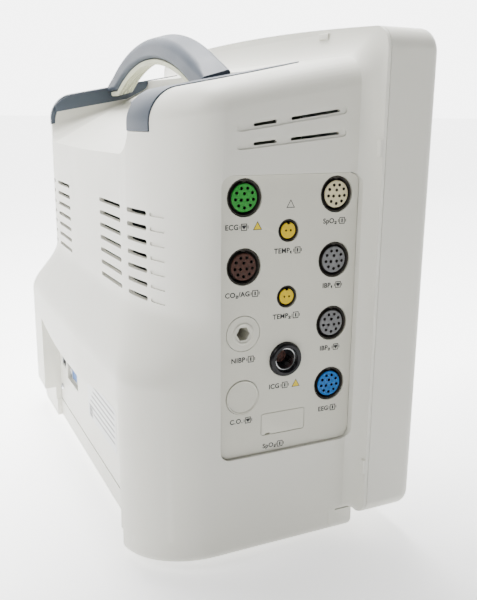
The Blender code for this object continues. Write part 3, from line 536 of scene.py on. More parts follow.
def open_loop(thing):
    """Take out the edge that joins the last point of an outline to the first."""
    ends = {0, len(thing.data.vertices) - 1}
    bpy.context.tool_settings.mesh_select_mode = (False, True, False)
    edit_all(thing)
    bpy.ops.mesh.select_all(action="DESELECT")
    leave_edit()
    for edge in thing.data.edges:
        edge.select = set(edge.vertices) == ends
    bpy.ops.object.mode_set(mode="EDIT")
    bpy.ops.mesh.delete(type="EDGE")
    bpy.context.tool_settings.mesh_select_mode = (True, False, False)
    leave_edit()


def turned(name, profile, centre, facing, steps=48):
    """Profile of (radius, height) spun about the facing; it starts and ends on the axis or is a loop."""
    along, across = (Vector(axis) for axis in FACINGS[facing])
    deselect()
    bpy.ops.mesh.primitive_circle_add(vertices=len(profile), fill_type="NOTHING")
    thing = bpy.context.object
    thing.name = name
    for vertex, (radius, height) in zip(thing.data.vertices, profile):
        vertex.co = Vector(centre) + along * height + across * radius
    if profile[0][0] == 0.0 and profile[-1][0] == 0.0:
        open_loop(thing)
    edit_all(thing)
    bpy.ops.mesh.spin(steps=steps, angle=2.0 * math.pi, center=centre, axis=along)
    bpy.ops.mesh.select_all(action="SELECT")
    bpy.ops.mesh.remove_doubles(threshold=0.000002)
    bpy.ops.mesh.select_all(action="SELECT")
    bpy.ops.mesh.normals_make_consistent(inside=False)
    leave_edit()
    return thing


def rod(name, centre, facing, radius, length, steps=32):
    profile = [(0.0, 0.0), (radius, 0.0), (radius, length), (0.0, length)]
    return turned(name, profile, centre, facing, steps)


def from_node(name, node_name, width=0.0004, segments=2):
    """Copy of a CAD node with its edges rounded."""
    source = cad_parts[node_name]
    thing = bpy.data.objects.new(name, source.data.copy())
    bpy.context.scene.collection.objects.link(thing)
    thing.data.materials.clear()
    return soften(thing, width, 30.0, segments)


def arc(centre, radius, start, sweep, steps, turn=0.0):
    """Points on an arc, from start over sweep, both in degrees."""
    points = []
    for step in range(steps + 1):
        angle = turn + math.radians(start + sweep * step / steps)
        points.append((centre[0] + radius * math.cos(angle), centre[1] + radius * math.sin(angle)))
    return points


def polygon(centre, radius, count, start):
    return arc(centre, radius, start, 360.0, count)[:-1]


def rectangle(a0, a1, b0, b1, radius=0.0, steps=6):
    """Rectangle outline, with round corners when a radius is given."""
    if radius <= 0.0:
        return [(a0, b0), (a1, b0), (a1, b1), (a0, b1)]
    corners = (
        (a1 - radius, b0 + radius, -90.0),
        (a1 - radius, b1 - radius, 0.0),
        (a0 + radius, b1 - radius, 90.0),
        (a0 + radius, b0 + radius, 180.0),
    )
    points = []
    for centre_a, centre_b, start in corners:
        points += arc((centre_a, centre_b), radius, start, 90.0, steps)
    return points


def stroke(a, b, width):
    """Outline of a straight bar with round ends, from a to b."""
    turn = math.atan2(b[1] - a[1], b[0] - a[0])
    return arc(b, 0.5 * width, -90.0, 180.0, 6, turn) + arc(a, 0.5 * width, 90.0, 180.0, 6, turn)


# ---- outer form of the housing ------------------------------------------------------------
def smooth_step(t):
    t = min(1.0, max(0.0, t))
    return t * t * (3.0 - 2.0 * t)


def top_height(y):
    return TOP_AT_ORIGIN + TOP_SLOPE * y


def plan_outline(bulge, inset, front_y, steps=24):
    """Plan of the housing: bulge 1 is the deep lower part, 0 the upper part."""
    half = BODY_HALF - inset
    rear = REAR_TOP_Y + (REAR_LOW_Y - REAR_TOP_Y) * bulge - inset
    corner_x = TOP_CORNER[0] + (LOW_CORNER[0] - TOP_CORNER[0]) * bulge - inset
    corner_y = TOP_CORNER[1] + (LOW_CORNER[1] - TOP_CORNER[1]) * bulge - inset
    right = []
    for step in range(steps + 1):
        angle = math.radians(90.0 * step / steps)
        x = half - corner_x + corner_x * math.cos(angle)
        y = rear - corner_y + corner_y * math.sin(angle)
        right.append((x, y - REAR_BOW * smooth_step(abs(x) / half)))
    for share in (0.75, 0.5, 0.25):
        x = (half - corner_x) * share
        right.append((x, rear - REAR_BOW * smooth_step(x / half)))
    left = [(-x, y) for x, y in reversed(right)]
    return [(-half, front_y), (half, front_y)] + right + [(0.0, rear)] + left


def housing_form(name, inset, front_y=RIM_Y, bottom=BODY_Z0):
    """The rear housing's outer form, drawn in by inset: bulge below, round edge on top."""
    low, high = BULGE_Z
    levels = [bottom, 0.060, 0.090]
    levels += [low + (high - low) * step / 16 for step in range(17)]
    levels += [0.170, 0.200]
    rings = []
    for z in levels:
        bulge = 1.0 - smooth_step((z - low) / (high - low))
        rings.append([(x, y, z) for x, y in plan_outline(bulge, inset, front_y)])
    for step in range(11):
        angle = math.radians(9.0 * step)
        extra = TOP_ROUND * (1.0 - math.cos(angle))
        drop = inset + TOP_ROUND * (1.0 - math.sin(angle))
        outline = plan_outline(0.0, inset + extra, front_y)
        rings.append([(x, y, top_height(y) - drop) for x, y in outline])
    return skin(name, rings)


def front_section(half, z0, z1, crown, top_radius, low_radius):
    """Outline across the front: round corners and a crowned top edge."""
    right = arc((half - low_radius, z0 + low_radius), low_radius, -90.0, 90.0, 10)
    for x, z in arc((half - top_radius, z1 - top_radius), top_radius, 0.0, 90.0, 10):
        right.append((x, z + crown * (1.0 - (x / half) ** 2)))
    for step in range(1, 12):
        x = (half - top_radius) * (1.0 - step / 12)
        right.append((x, z1 + crown * (1.0 - (x / half) ** 2)))
    left = [(-x, z) for x, z in reversed(right)]
    return right + [(0.0, z1 + crown)] + left


def rim_section(inset):
    """The bezel's outline, drawn in by inset all round."""
    bottom, top = BEZEL_Z[0] + inset, BEZEL_Z[1] - inset
    top_radius, low_radius = RIM_TOP_RADIUS - 0.5 * inset, RIM_LOW_RADIUS - 0.5 * inset
    return front_section(BEZEL_HALF - inset, bottom, top, BEZEL_CROWN, top_radius, low_radius)


def flange_form(name):
    """Concave flare from the housing out to the bezel's rim."""
    rings = []
    steps = 14
    start_y, lip_y = FLARE_Y, RIM_Y + 0.0015
    for step in range(steps + 1):
        angle = math.radians(90.0 * step / steps)
        share = 1.0 - math.cos(angle)
        y = start_y + (lip_y - start_y) * math.sin(angle)
        body_top = top_height(y)
        half = BODY_HALF - 0.0006 + (BEZEL_HALF - BODY_HALF) * share
        bottom = BODY_Z0 + 0.001 + (BEZEL_Z[0] - BODY_Z0 - 0.001) * share
        top = body_top - 0.0006 + (BEZEL_Z[1] - body_top + 0.0006) * share
        corner = TOP_ROUND + (RIM_TOP_RADIUS - TOP_ROUND) * share
        section = front_section(half, bottom, top, BEZEL_CROWN * share, corner, 0.001 + 0.008 * share)
        rings.append([(x, y, z) for x, z in section])
    rings.append([(x, RIM_Y, z) for x, z in rim_section(0.0)])
    return skin(name, rings)


def scoop_floor(y):
    """Floor of the handle recess, climbing from the rear rim towards the handle."""
    return SCOOP_LOW_Z + SCOOP_RISE * (REAR_TOP_Y - y) / SCOOP_REACH


def scoop_form(name, grow):
    """The handle recess as a cutting tool: its lower corners are rounder towards the rear."""
    rings = []
    for y in (*SCOOP_STATIONS, SCOOP_FRONT_Y - grow):
        floor = scoop_floor(y) - grow
        half = RECESS_HALF + grow
        radius = 0.0022 + 0.25 * max(0.0, y - 0.018)
        corner = arc((half - radius, floor + radius), radius, 0.0, -90.0, 12)
        right = [(half, y, ABOVE)] + [(x, y, z) for x, z in corner]
        rings.append(right + [(-x, at, z) for x, at, z in reversed(right)])
    return skin(name, rings)


def bay_outline(left, right, bottom, lift):
    """Outline of the connector bay, whose upper edge is a shallow arch."""
    steps = 24
    outline = [(left, bottom), (right, bottom)]
    for step in range(steps + 1):
        x = right + (left - right) * step / steps
        outline.append((x, HOOD_Z + lift + HOOD_RISE * (x / IO_X[0]) ** 2))
    return outline


def bay_form(grow):
    outline = bay_outline(IO_X[0] - grow, IO_X[1] + grow, BODY_Z0 - 0.02, grow)
    return slab("bay_tool", outline, "XZ", IO_FACE_Y - 0.0035 - grow, BEHIND)


def wing_step_form(grow):
    low = (IO_X[1] - 0.004 - grow, WING_STEP[0] - grow, -0.03)
    return block("wing_tool", low, (0.180, BEHIND, WING_STEP[1] + grow))


RAIL_X = (0.0962, 0.1190)
RAIL_LOW_Z = 0.2355
RAIL_FRONT_Y = -0.0300
RAIL_TAPER_Y = 0.034
RAIL_TIP = 0.003


def rail_plan(side, grow):
    """Plan of one rail: wide at the rear, drawn to a point at the front."""
    inner = RECESS_HALF - grow if grow else RAIL_X[0] + GAP
    outer = RAIL_X[1] + grow
    outline = [(inner, BEHIND), (outer, BEHIND)]
    for step in range(13):
        share = step / 12
        y = RAIL_TAPER_Y + (RAIL_FRONT_Y - grow - RAIL_TAPER_Y) * share
        outline.append((outer + (inner + RAIL_TIP + grow - outer) * share ** 1.9, y))
    outline.append((inner, RAIL_FRONT_Y - grow))
    return [(side * x, y) for x, y in outline]


# ---- rear housing -------------------------------------------------------------------------
SLITS = ((0.2394, 0.150), (0.2303, 0.106))
SLIT_REAR_Y = 0.0240
SLIT_SPANS = ((SLIT_REAR_Y, 0.0114), (0.0031, -0.0249))
VENT_ROWS = 7
VENT_TOP_Z = 0.1936
VENT_PITCH = 0.00763
VENT_SPANS = ((0.0400, 0.0815), (0.0925, 0.1150))
# recorder door, battery door and mains inlet: from front to rear, and from bottom to top
SIDE_OPENINGS = (
    ((-0.0220, 0.0500), (0.1250, 0.2150)),
    ((-0.0300, 0.0200), (0.0350, 0.1050)),
    ((0.0300, 0.0520), (0.0450, 0.0750)),
)
STUD = (0.0410, 0.0900)


def slit_tools():
    """Slits high on both side walls, and the shallow channels they sit in."""
    through, channels = [], []
    for height, rise in SLITS:
        for rear_y, front_y in SLIT_SPANS:
            ends = [(y, height + rise * (SLIT_REAR_Y - y)) for y in (rear_y - 0.0006, front_y + 0.0006)]
            for side in (-1, 1):
                through.append(slab("slit", stroke(*ends, 0.0016), "YZ", side * 0.140, side * 0.160))
        ends = [(y, height + rise * (SLIT_REAR_Y - y)) for y in (0.0315, -0.0270)]
        for side in (-1, 1):
            depth = side * (BODY_HALF - 0.0007)
            channels.append(slab("channel", stroke(*ends, 0.0042), "YZ", depth, side * 0.160))
    return union(through), union(channels)


def vent_tools():
    """Open slots in the upper rear wall, and blind grooves that carry the rows on."""
    through, blind = [], []
    for row in range(VENT_ROWS):
        z = VENT_TOP_Z - VENT_PITCH * row
        for side in (-1, 1):
            for near, far in VENT_SPANS:
                ends = ((side * (near + 0.0012), z), (side * (far - 0.0012), z))
                through.append(slab("slot", stroke(*ends, 0.0026), "XZ", 0.055, 0.100))
            ends = ((side * 0.1190, z), (side * 0.1290, z))
            blind.append(slab("blind", stroke(*ends, 0.0020), "XZ", 0.050, 0.100))
    return union(through), union(blind)


def make_rear_housing():
    """Hollow shell with its flared rim, handle recess, connector bay, openings, slits and vents."""
    shell = housing_form("housing_shell", 0.0)
    carve(shell, flange_form("flange"), "UNION")

    hollow = housing_form("hollow", WALL, RIM_Y - 0.02, BODY_Z0 - 0.02)
    carve(hollow, scoop_form("scoop_tool", WALL))
    carve(hollow, bay_form(WALL))
    carve(hollow, wing_step_form(WALL))
    for side in (-1, 1):
        carve(hollow, slab("rail_tool", rail_plan(side, 0.003), "XY", 0.225, ABOVE))
    carve(shell, hollow)

    carve(shell, scoop_form("scoop_tool", 0.0))
    carve(shell, bay_form(0.0))
    carve(shell, wing_step_form(0.0))
    ledge = 0.006
    back = rectangle(IO_X[0] + ledge, IO_X[1] - ledge, BODY_Z0 + ledge, HOOD_Z - ledge)
    carve(shell, slab("bay_back", back, "XZ", 0.060, IO_FACE_Y))
    seats = union([slab("seat", rail_plan(side, GAP), "XY", RAIL_LOW_Z - GAP, ABOVE) for side in (-1, 1)])
    carve(seats, housing_form("seat_depth", 0.0025))
    carve(shell, seats)

    low, high = (PANEL_LOW - Vector((0, GAP, GAP))), (PANEL_HIGH + Vector((0, GAP, GAP)))
    hole = rectangle(low.y, high.y, low.z, high.z, 0.006)
    carve(shell, slab("panel_hole", hole, "YZ", -0.170, -0.140))
    slits, channels = slit_tools()
    carve(shell, channels)
    carve(shell, slits)
    vents, blind = vent_tools()
    carve(blind, housing_form("blind_depth", 0.0007))
    carve(shell, blind)
    carve(shell, vents)
    for across, up in SIDE_OPENINGS:
        carve(shell, slab("side_hole", rectangle(*across, *up), "YZ", *SIDE_CUT))
    carve(shell, rod("stud_hole", (0.140, *STUD), "+X", 0.0035, 0.03, 24))
    dress(soften(shell, 0.0005, 33.0), "housing", "housing", "rear_housing")


def make_catches():
    """Small moulded catches that hook the housing's flange to the bezel."""
    catches = []
    for side in (-1, 1):
        for z in (0.0490, 0.2280):
            x = side * (BEZEL_HALF - 0.0040)
            low = (min(x, x + side * 0.0034), RIM_Y + 0.0006, z - 0.0045)
            high = (max(x, x + side * 0.0034), RIM_Y + 0.0030, z + 0.0045)
            catches.append(block("catch", low, high))
    for x in (-0.105, 0.105):
        low = (x - 0.0050, RIM_Y + 0.0006, BEZEL_Z[1] - 0.0025)
        catches.append(block("catch", low, (x + 0.0050, RIM_Y + 0.0030, BEZEL_Z[1] + 0.0008)))
    dress(soften(union(catches, "flange_catches"), 0.0005), "housing", "housing")


# ---- handle -------------------------------------------------------------------------------
HANDLE_REAR_Y = 0.0280
HANDLE_FRONT_Y = 0.0110
ARCH_TOP = 0.2903
ARCH_RADIUS = 0.185
INNER_TOP = 0.2778
INNER_RADIUS = 0.165
ARCH_TILT = -0.28
GRIP_THICK = 0.0035
LINING_X = (RECESS_HALF - 0.0025, RECESS_HALF - GAP)
LINING_FOOT = [(0.0680, 0.2445), (0.0130, 0.2548), (0.0000, 0.2612), (-0.0030, 0.2632), (-0.0045, 0.2665)]
LINING_CROWN = [(y, top_height(y) + 0.0004) for y in (-0.0040, 0.0570)] + [(0.0640, 0.2532), (0.0680, 0.2500)]
BOW_ROOT = ((0.0125, -0.0020), (0.0265, -0.0020), (0.0265, 0.0003), (0.0125, 0.0003))
RIB_COUNT = 5


def arch_height(x, top, radius):
    return top - (radius - math.sqrt(radius * radius - x * x))


def bow_stations(half, steps=72):
    reach = RECESS_HALF - 0.0010
    places = [-reach + 2.0 * reach * step / steps for step in range(steps + 1)]
    return [x for x in places if abs(x) < half - 0.0004] if half < reach else places


def bow_underside(x):
    return max(arch_height(x, INNER_TOP, INNER_RADIUS), scoop_floor(HANDLE_FRONT_Y) + GRIP_THICK + 0.0018)


def tilted(x, section):
    return [(x, y, z + ARCH_TILT * (y - HANDLE_REAR_Y)) for y, z in section]


def make_handle():
    """Bow across the recess, the two rails that wrap over the rear edge and the recess linings."""
    rings = []
    for x in bow_stations(RECESS_HALF):
        outer = arch_height(x, ARCH_TOP, ARCH_RADIUS)
        inner = bow_underside(x)
        radius = min(0.0046, 0.38 * (outer - inner))
        rings.append(tilted(x, rectangle(HANDLE_FRONT_Y, HANDLE_REAR_Y, inner, outer, radius, 7)))
    frame_piece = skin("handle_arch_and_rails", rings)
    for side in (-1, 1):
        rail = slab("rail", rail_plan(side, 0.0), "XY", RAIL_LOW_Z, ABOVE)
        carve(rail, housing_form("rail_skin", -0.0006), "INTERSECT")
        carve(rail, housing_form("rail_under", 0.0022))
        carve(frame_piece, rail, "UNION")
        lining = slab("lining", LINING_FOOT + LINING_CROWN, "YZ", side * LINING_X[0], side * LINING_X[1])
        carve(frame_piece, lining, "UNION")
        root = [(y, top_height(y) + lift) for y, lift in BOW_ROOT]
        root = slab("root", root, "YZ", side * LINING_X[0], side * (RECESS_HALF + 0.0017))
        carve(frame_piece, root, "UNION")
    dress(soften(frame_piece, 0.0007, 36.0, 3), "housing", "slate", "handle_frame")


def make_grip():
    """Soft insert under the bow with five rounded ribs along the arch."""
    low_y, high_y = HANDLE_FRONT_Y + 0.0022, HANDLE_REAR_Y - 0.0022
    steps = 60
    rings = []
    for x in bow_stations(RECESS_HALF - 0.0031, 96):
        top = bow_underside(x) - GAP
        section = [(high_y, top), (low_y, top)]
        for step in range(steps + 1):
            share = step / steps
            wave = abs(math.sin(math.pi * RIB_COUNT * share))
            height = top - GRIP_THICK + 0.0016 * (1.0 - wave ** 0.6)
            section.append((low_y + (high_y - low_y) * share, height))
        rings.append(tilted(x, section))
    grip = skin("ribbed_grip", rings)
    dress(soften(grip, 0.0002, 50.0, 1), "housing", "grip", "handle_grip")


# ---- socket panel -------------------------------------------------------------------------
SOCKETS = (
    ("ecg_socket", 0, SOCKET_ROWS[0], "green"),
    ("co2_socket", 0, SOCKET_ROWS[1], "brown"),
    ("spo2_socket", 2, SOCKET_ROWS[0], "cream"),
    ("ibp1_socket", 2, SOCKET_ROWS[1], "grey"),
    ("ibp2_socket", 2, SOCKET_ROWS[2], "grey"),
    ("eeg_socket", 2, SOCKET_ROWS[3], "blue"),
)


def finish_socket(body, slot, depth, *nodes, finish=None):
    """Smooth a socket and paint shade on the faces that lie deeper than depth behind the panel face."""
    body.data.materials.append(finish or FINISH[slot])
    body.data.materials.append(FINISH["painted_shade"])
    # painted shade: faces deeper than depth behind the panel face get the dark shade finish, standing in for
    # the shadow inside the socket
    for face in body.data.polygons:
        if face.center.x > PANEL_X + depth:
            face.material_index = 1
    dress(body, "housing", slot, *nodes)


def pin_places(centre, rings):
    """Centres of pin holes on rings of (count, radius, first angle)."""
    places = []
    for count, radius, start in rings:
        for index in range(count):
            angle = math.radians(start + 360.0 * index / count)
            places.append((centre[1] - radius * math.sin(angle), centre[2] + radius * math.cos(angle)))
    return places


def drill(thing, places, radius, depth, face_x=PANEL_X):
    holes = [rod("pin_hole", (face_x + depth, y, z), "-X", radius, depth + 0.002, 12) for y, z in places]
    carve(thing, union(holes))


def make_round_socket(name, column, z, slot):
    """Keyed round socket: collar, deep annular gap and an insert with twelve pin holes."""
    centre = (PANEL_X, SOCKET_COLS[column], z)
    profile = [
        (0.0, -0.0160), (0.0095, -0.0160), (0.0095, -0.0009), (0.0093, -0.0007), (0.0089, -0.0007),
        (0.0086, -0.0011), (0.0084, -0.0030), (0.0084, -0.0070), (0.0074, -0.0070), (0.0072, -0.0007),
        (0.0070, -0.0003), (0.0067, -0.0001), (0.0, -0.0001),
    ]
    body = turned(name + "_body", profile, centre, "-X", 56)
    drill(body, pin_places(centre, ((9, 0.0050, 20.0), (3, 0.0021, 0.0))), 0.00088, 0.0050)
    key = rectangle(centre[1] - 0.0010, centre[1] + 0.0010, z + 0.0078, z + 0.0091, 0.0004, 3)
    carve(body, slab("key_rib", key, "YZ", PANEL_X + 0.0012, PANEL_X + 0.0090), "UNION")
    finish_socket(soften(body, 0.0), slot, 0.0005, name)


def make_temperature_socket(name, z):
    centre = (PANEL_X, SOCKET_COLS[1], z)
    profile = [
        (0.0, -0.0140), (0.0058, -0.0140), (0.0058, -0.0008), (0.0056, -0.0006), (0.0053, -0.0006),
        (0.0051, -0.0010), (0.0050, -0.0040), (0.0043, -0.0040), (0.0043, -0.0007), (0.0041, -0.0003),
        (0.0039, -0.0002), (0.0, -0.0002),
    ]
    body = turned(name + "_body", profile, centre, "-X", 48)
    drill(body, [(centre[1] + dy, z) for dy in (-0.0014, 0.0014)], 0.0006, 0.0060)
    notch = rectangle(centre[1] - 0.0008, centre[1] + 0.0008, z + 0.0032, z + 0.0049)
    carve(body, slab("key_notch", notch, "YZ", PANEL_X - 0.001, PANEL_X + 0.0034))
    finish_socket(soften(body, 0.0), "yellow", 0.0005, name)


def make_cardiac_socket():
    """Glossy raised bush with a metal ring and a pin insert set deep inside."""
    centre = (PANEL_X, SOCKET_COLS[1], MID_ROWS[2])
    profile = [
        (0.0, -0.0180), (0.0095, -0.0180), (0.0095, 0.0006), (0.0093, 0.0013), (0.0088, 0.0020),
        (0.0082, 0.0024), (0.0074, 0.0024), (0.0068, 0.0020), (0.0064, 0.0012), (0.0063, -0.0110),
        (0.0, -0.0110),
    ]
    bush = turned("icg_bush", profile, centre, "-X", 64)
    dress(soften(bush, 0.0), "housing", "black", "icg_socket")
    profile = [
        (0.0056, -0.0100), (0.0061, -0.0100), (0.0061, -0.0002), (0.0060, 0.0001), (0.0057, 0.0001),
        (0.0056, -0.0002),
    ]
    ring = turned("icg_metal_ring", profile, centre, "-X", 64)
    dress(soften(ring, 0.0), "housing", "steel")
    profile = [(0.0, -0.0105), (0.0036, -0.0105), (0.0036, -0.0064), (0.0034, -0.0060), (0.0, -0.0060)]
    core = turned("icg_pin_insert", profile, centre, "-X", 40)
    drill(core, pin_places(centre, ((6, 0.0023, 0.0), (1, 0.0, 0.0))), 0.0005, 0.0085)
    finish_socket(soften(core, 0.0), "brown", 0.0065)


def make_pressure_port():
    """Air port: a plain disc with a raised collar round a hexagonal hole."""
    centre = (PANEL_X, SOCKET_COLS[0], SOCKET_ROWS[2])
    profile = [
        (0.0, -0.0180), (0.0095, -0.0180), (0.0095, 0.0001), (0.0093, 0.0002), (0.0064, 0.0002),
        (0.0060, 0.0004), (0.0056, 0.0008), (0.0050, 0.0008), (0.0047, 0.0005), (0.0045, 0.0002),
        (0.0, 0.0002),
    ]
    port = turned("nibp_port_body", profile, centre, "-X", 64)
    hexagon = polygon(centre[1:], 0.0039, 6, 0.0)
    carve(port, slab("hex_hole", hexagon, "YZ", PANEL_X - 0.002, PANEL_X + 0.0120))
    finish_socket(soften(port, 0.00015, 40.0), "housing", 0.0095, "nibp_port", finish=FINISH["panel"])


def make_blanks():
    """Unused openings: a round cap with a raised rim and a rectangular cap with a notch."""
    centre = (PANEL_X, SOCKET_COLS[0], SOCKET_ROWS[3])
    profile = [
        (0.0, -0.0030), (0.0095, -0.0030), (0.0095, 0.0001), (0.0093, 0.0004), (0.0090, 0.0005),
        (0.0087, 0.0003), (0.0085, 0.0), (0.0, 0.0),
    ]
    cap = soften(turned("round_blank_cap", profile, centre, "-X", 64), 0.0)
    dress(cap, "housing", "housing", "output_blank", finish=FINISH["panel"])
    low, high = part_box("module_blank")
    plate = slab("module_cap", rectangle(low.y, high.y, low.z, high.z, 0.0012), "YZ", low.x, high.x)
    notch = rectangle(high.y - 0.0052, high.y - 0.0024, low.z - 0.001, low.z + 0.0012)
    carve(plate, slab("cap_notch", notch, "YZ", PANEL_X - 0.001, PANEL_X + 0.0012))
    dress(soften(plate, 0.0002), "housing", "housing", "module_blank", finish=FINISH["panel"])


# ---- printing -----------------------------------------------------------------------------
PRINT = {
    "-X": Matrix(((0, 0, -1), (-1, 0, 0), (0, 1, 0))),
    "+X": Matrix(((0, 0, 1), (1, 0, 0), (0, 1, 0))),
    "+Y": Matrix(((-1, 0, 0), (0, 0, 1), (0, 1, 0))),
    "-Y": Matrix(((1, 0, 0), (0, 0, -1), (0, 1, 0))),
}
INK_THICK = 0.00006


def word(text, size, facing, place):
    """Generic word printed on a face; returns a mesh object in place."""
    deselect()
    bpy.ops.object.text_add()
    thing = bpy.context.object
    thing.data.body = text
    thing.data.size = size
    thing.data.align_x = "CENTER"
    thing.data.align_y = "CENTER"
    thing.data.extrude = INK_THICK
    thing.data.offset = 0.00009
    thing.data.space_character = 1.06
    bpy.ops.object.convert(target="MESH")
    thing = bpy.context.object
    thing.data.transform(Matrix.Translation(place) @ PRINT[facing].to_4x4())
    return thing


def mark(outline, facing, face):
    """Flat printed shape. The outline is in the face's own plane, in object coordinates."""
    plane = "YZ" if facing[1] == "X" else "XZ"
    sign = 1.0 if facing[0] == "+" else -1.0
    return slab("mark", outline, plane, face, face + sign * INK_THICK)


def ring_mark(outer, inner, facing, face):
    """Printed outline: a flat shape with the inner one cut out."""
    piece = mark(outer, facing, face)
    plane = "YZ" if facing[1] == "X" else "XZ"
    carve(piece, slab("ring_inside", inner, plane, face - 0.001, face + 0.001))
    return piece


def polygon_ring(centre, outer, inner, count, start, facing, face):
    return ring_mark(polygon(centre, outer, count, start), polygon(centre, inner, count, start), facing, face)


def print_piece(name, pieces, body, slot, ink):
    """Gather printed marks into one named piece of ink."""
    piece = union(pieces, name)
    piece.data.materials.clear()
    dress(piece, body, slot, finish=ink)


# word, column, height of its socket, kind of sign, and how far word, sign and line lie from the socket
LABELS = (
    ("ECG", 0, SOCKET_ROWS[0], 1, 0.0070, 0.0002, 0.0147),
    ("CO₂/AG", 0, SOCKET_ROWS[1], 0, 0.0035, -0.0066, 0.0144),
    ("NIBP", 0, SOCKET_ROWS[2], 0, 0.0028, -0.0046, 0.0144),
    ("C.O.", 0, SOCKET_ROWS[3], 1, 0.0036, -0.0034, 0.0134),
    ("SpO₂", 2, SOCKET_ROWS[0], 0, 0.0035, -0.0040, 0.0142),
    ("IBP₁", 2, SOCKET_ROWS[1], 1, 0.0036, -0.0032, 0.0141),
    ("IBP₂", 2, SOCKET_ROWS[2], 1, 0.0036, -0.0033, 0.0141),
    ("EEG", 2, SOCKET_ROWS[3], 0, 0.0033, -0.0030, 0.0147),
    ("ICG", 1, MID_ROWS[2], 0, 0.0066, 0.0, 0.0148),
    ("TEMP₁", 1, MID_ROWS[0], 0, 0.0031, -0.0056, 0.0106),
    ("TEMP₂", 1, MID_ROWS[1], 0, 0.0028, -0.0056, 0.0106),
)
LAST_LABEL = (0.0113, 0.0672)


def body_symbol(centre, kind, face):
    """Small applied-part sign: a plain box with a bar or a filled shield, between two short strokes."""
    y, z = centre
    outer = rectangle(y - 0.0017, y + 0.0017, z - 0.0018, z + 0.0018)
    inner = rectangle(y - 0.0013, y + 0.0013, z - 0.0014, z + 0.0014)
    pieces = [ring_mark(outer, inner, "-X", face)]
    bar = rectangle(y - 0.0004, y + 0.0004, z - 0.0010, z + 0.0010)
    shield = [(y - 0.0011, z + 0.0009), (y - 0.0011, z + 0.0001), (y, z - 0.0012)]
    shield += [(y + 0.0011, z + 0.0001), (y + 0.0011, z + 0.0009)]
    pieces.append(mark(shield if kind else bar, "-X", face))
    for side in (-1, 1):
        outline = rectangle(*sorted((y + side * 0.0021, y + side * 0.0025)), z - 0.0008, z + 0.0008)
        pieces.append(mark(outline, "-X", face))
    return pieces


def make_panel_printing():
    face = PANEL_X - INK_THICK * 0.5
    pieces = []
    for text, column, z, kind, word_shift, sign_shift, drop in LABELS:
        y = SOCKET_COLS[column]
        pieces.append(word(text, 0.0037, "-X", (face, y + word_shift, z - drop)))
        pieces += body_symbol((y + sign_shift, z - drop), kind, face)
    y, z = LAST_LABEL
    pieces.append(word("SpO₂", 0.0036, "-X", (face, y, z)))
    pieces += body_symbol((y - 0.0066, z), 0, face)
    pieces.append(polygon_ring((SOCKET_COLS[1] - 0.0008, 0.1994), 0.0029, 0.0022, 3, 90, "-X", face))
    yellow = []
    places = (
        (SOCKET_COLS[0] - 0.0074, SOCKET_ROWS[0] - 0.0150),
        (SOCKET_COLS[1] - 0.0068, MID_ROWS[2] - 0.0152),
    )
    for centre in places:
        yellow.append(mark(polygon(centre, 0.0023, 3, 90), "-X", face))
        pieces.append(polygon_ring(centre, 0.0030, 0.0023, 3, 90, "-X", face))
    print_piece("socket_names", pieces, "housing", "panel", INK)
    print_piece("socket_triangles", yellow, "housing", "panel", YELLOW_INK)


# ---- front --------------------------------------------------------------------------------
KEY_COUNT = 6
KEY_PITCH = 0.034
KEY_START_X = -0.078
KEY_SIZE = (0.026, 0.012)
POWER_R = 0.0075
ALARM_X = (-0.035, 0.035)
ALARM_Z = (0.2765, 0.2855)
SCREEN_X = 0.127
SCREEN_Z = (0.079, 0.271)


def key_x(index):
    return KEY_START_X + KEY_PITCH * index


def key_outline(index, grow):
    wide, tall = KEY_SIZE[0] / 2 + grow, KEY_SIZE[1] / 2 + grow
    return rectangle(key_x(index) - wide, key_x(index) + wide, KEY_Z - tall, KEY_Z + tall, tall - 0.0005, 8)


def make_bezel():
    """Front frame with rounded edges, a chamfered screen opening and a shallow key tray."""
    rings = [[(x, RIM_Y - GAP, z) for x, z in rim_section(0.0)]]
    rings.append([(x, -0.0695, z) for x, z in rim_section(0.0)])
    reach_y, reach = 0.0070, 0.0050
    for step in range(1, 11):
        angle = math.radians(9.0 * step)
        inset = reach * (1.0 - math.cos(angle))
        rings.append([(x, FRONT_Y + reach_y * (1.0 - math.sin(angle)), z) for x, z in rim_section(inset)])
    bezel = skin("front_frame", rings)
    inner = [[(x, y, z) for x, z in rim_section(WALL)] for y in (RIM_Y + 0.01, FRONT_Y + WALL)]
    carve(bezel, skin("bezel_hollow", inner))
    chamfer = []
    for y, grow in ((FRONT_Y - 0.002, 0.0022), (FRONT_Y, 0.0012), (FRONT_Y + 0.0009, 0.0), (-0.060, 0.0)):
        half, bottom, top = SCREEN_X + grow, SCREEN_Z[0] - grow, SCREEN_Z[1] + grow
        chamfer.append([(x, y, z) for x, z in rectangle(-half, half, bottom, top, 0.003 + grow)])
    carve(bezel, skin("screen_opening", chamfer))
    tray = rectangle(-0.104, 0.104, 0.0355, 0.0605, 0.008, 8)
    carve(bezel, slab("key_tray", tray, "XZ", -0.090, FRONT_Y + 0.0005))
    holes = [slab("key_hole", key_outline(index, 0.0004), "XZ", *FRONT_CUT) for index in range(KEY_COUNT)]
    holes.append(rod("power_hole", (POWER_X, -0.060, KEY_Z), "-Y", POWER_R + 0.0004, 0.03, 40))
    holes.append(rod("knob_hole", (KNOB_X, -0.060, KEY_Z), "-Y", 0.0040, 0.03, 32))
    holes.append(slab("alarm_hole", rectangle(*ALARM_X, *ALARM_Z, 0.002), "XZ", *FRONT_CUT))
    carve(bezel, union(holes))
    dress(soften(bezel, 0.0003, 34.0), "housing", "housing", "front_bezel")


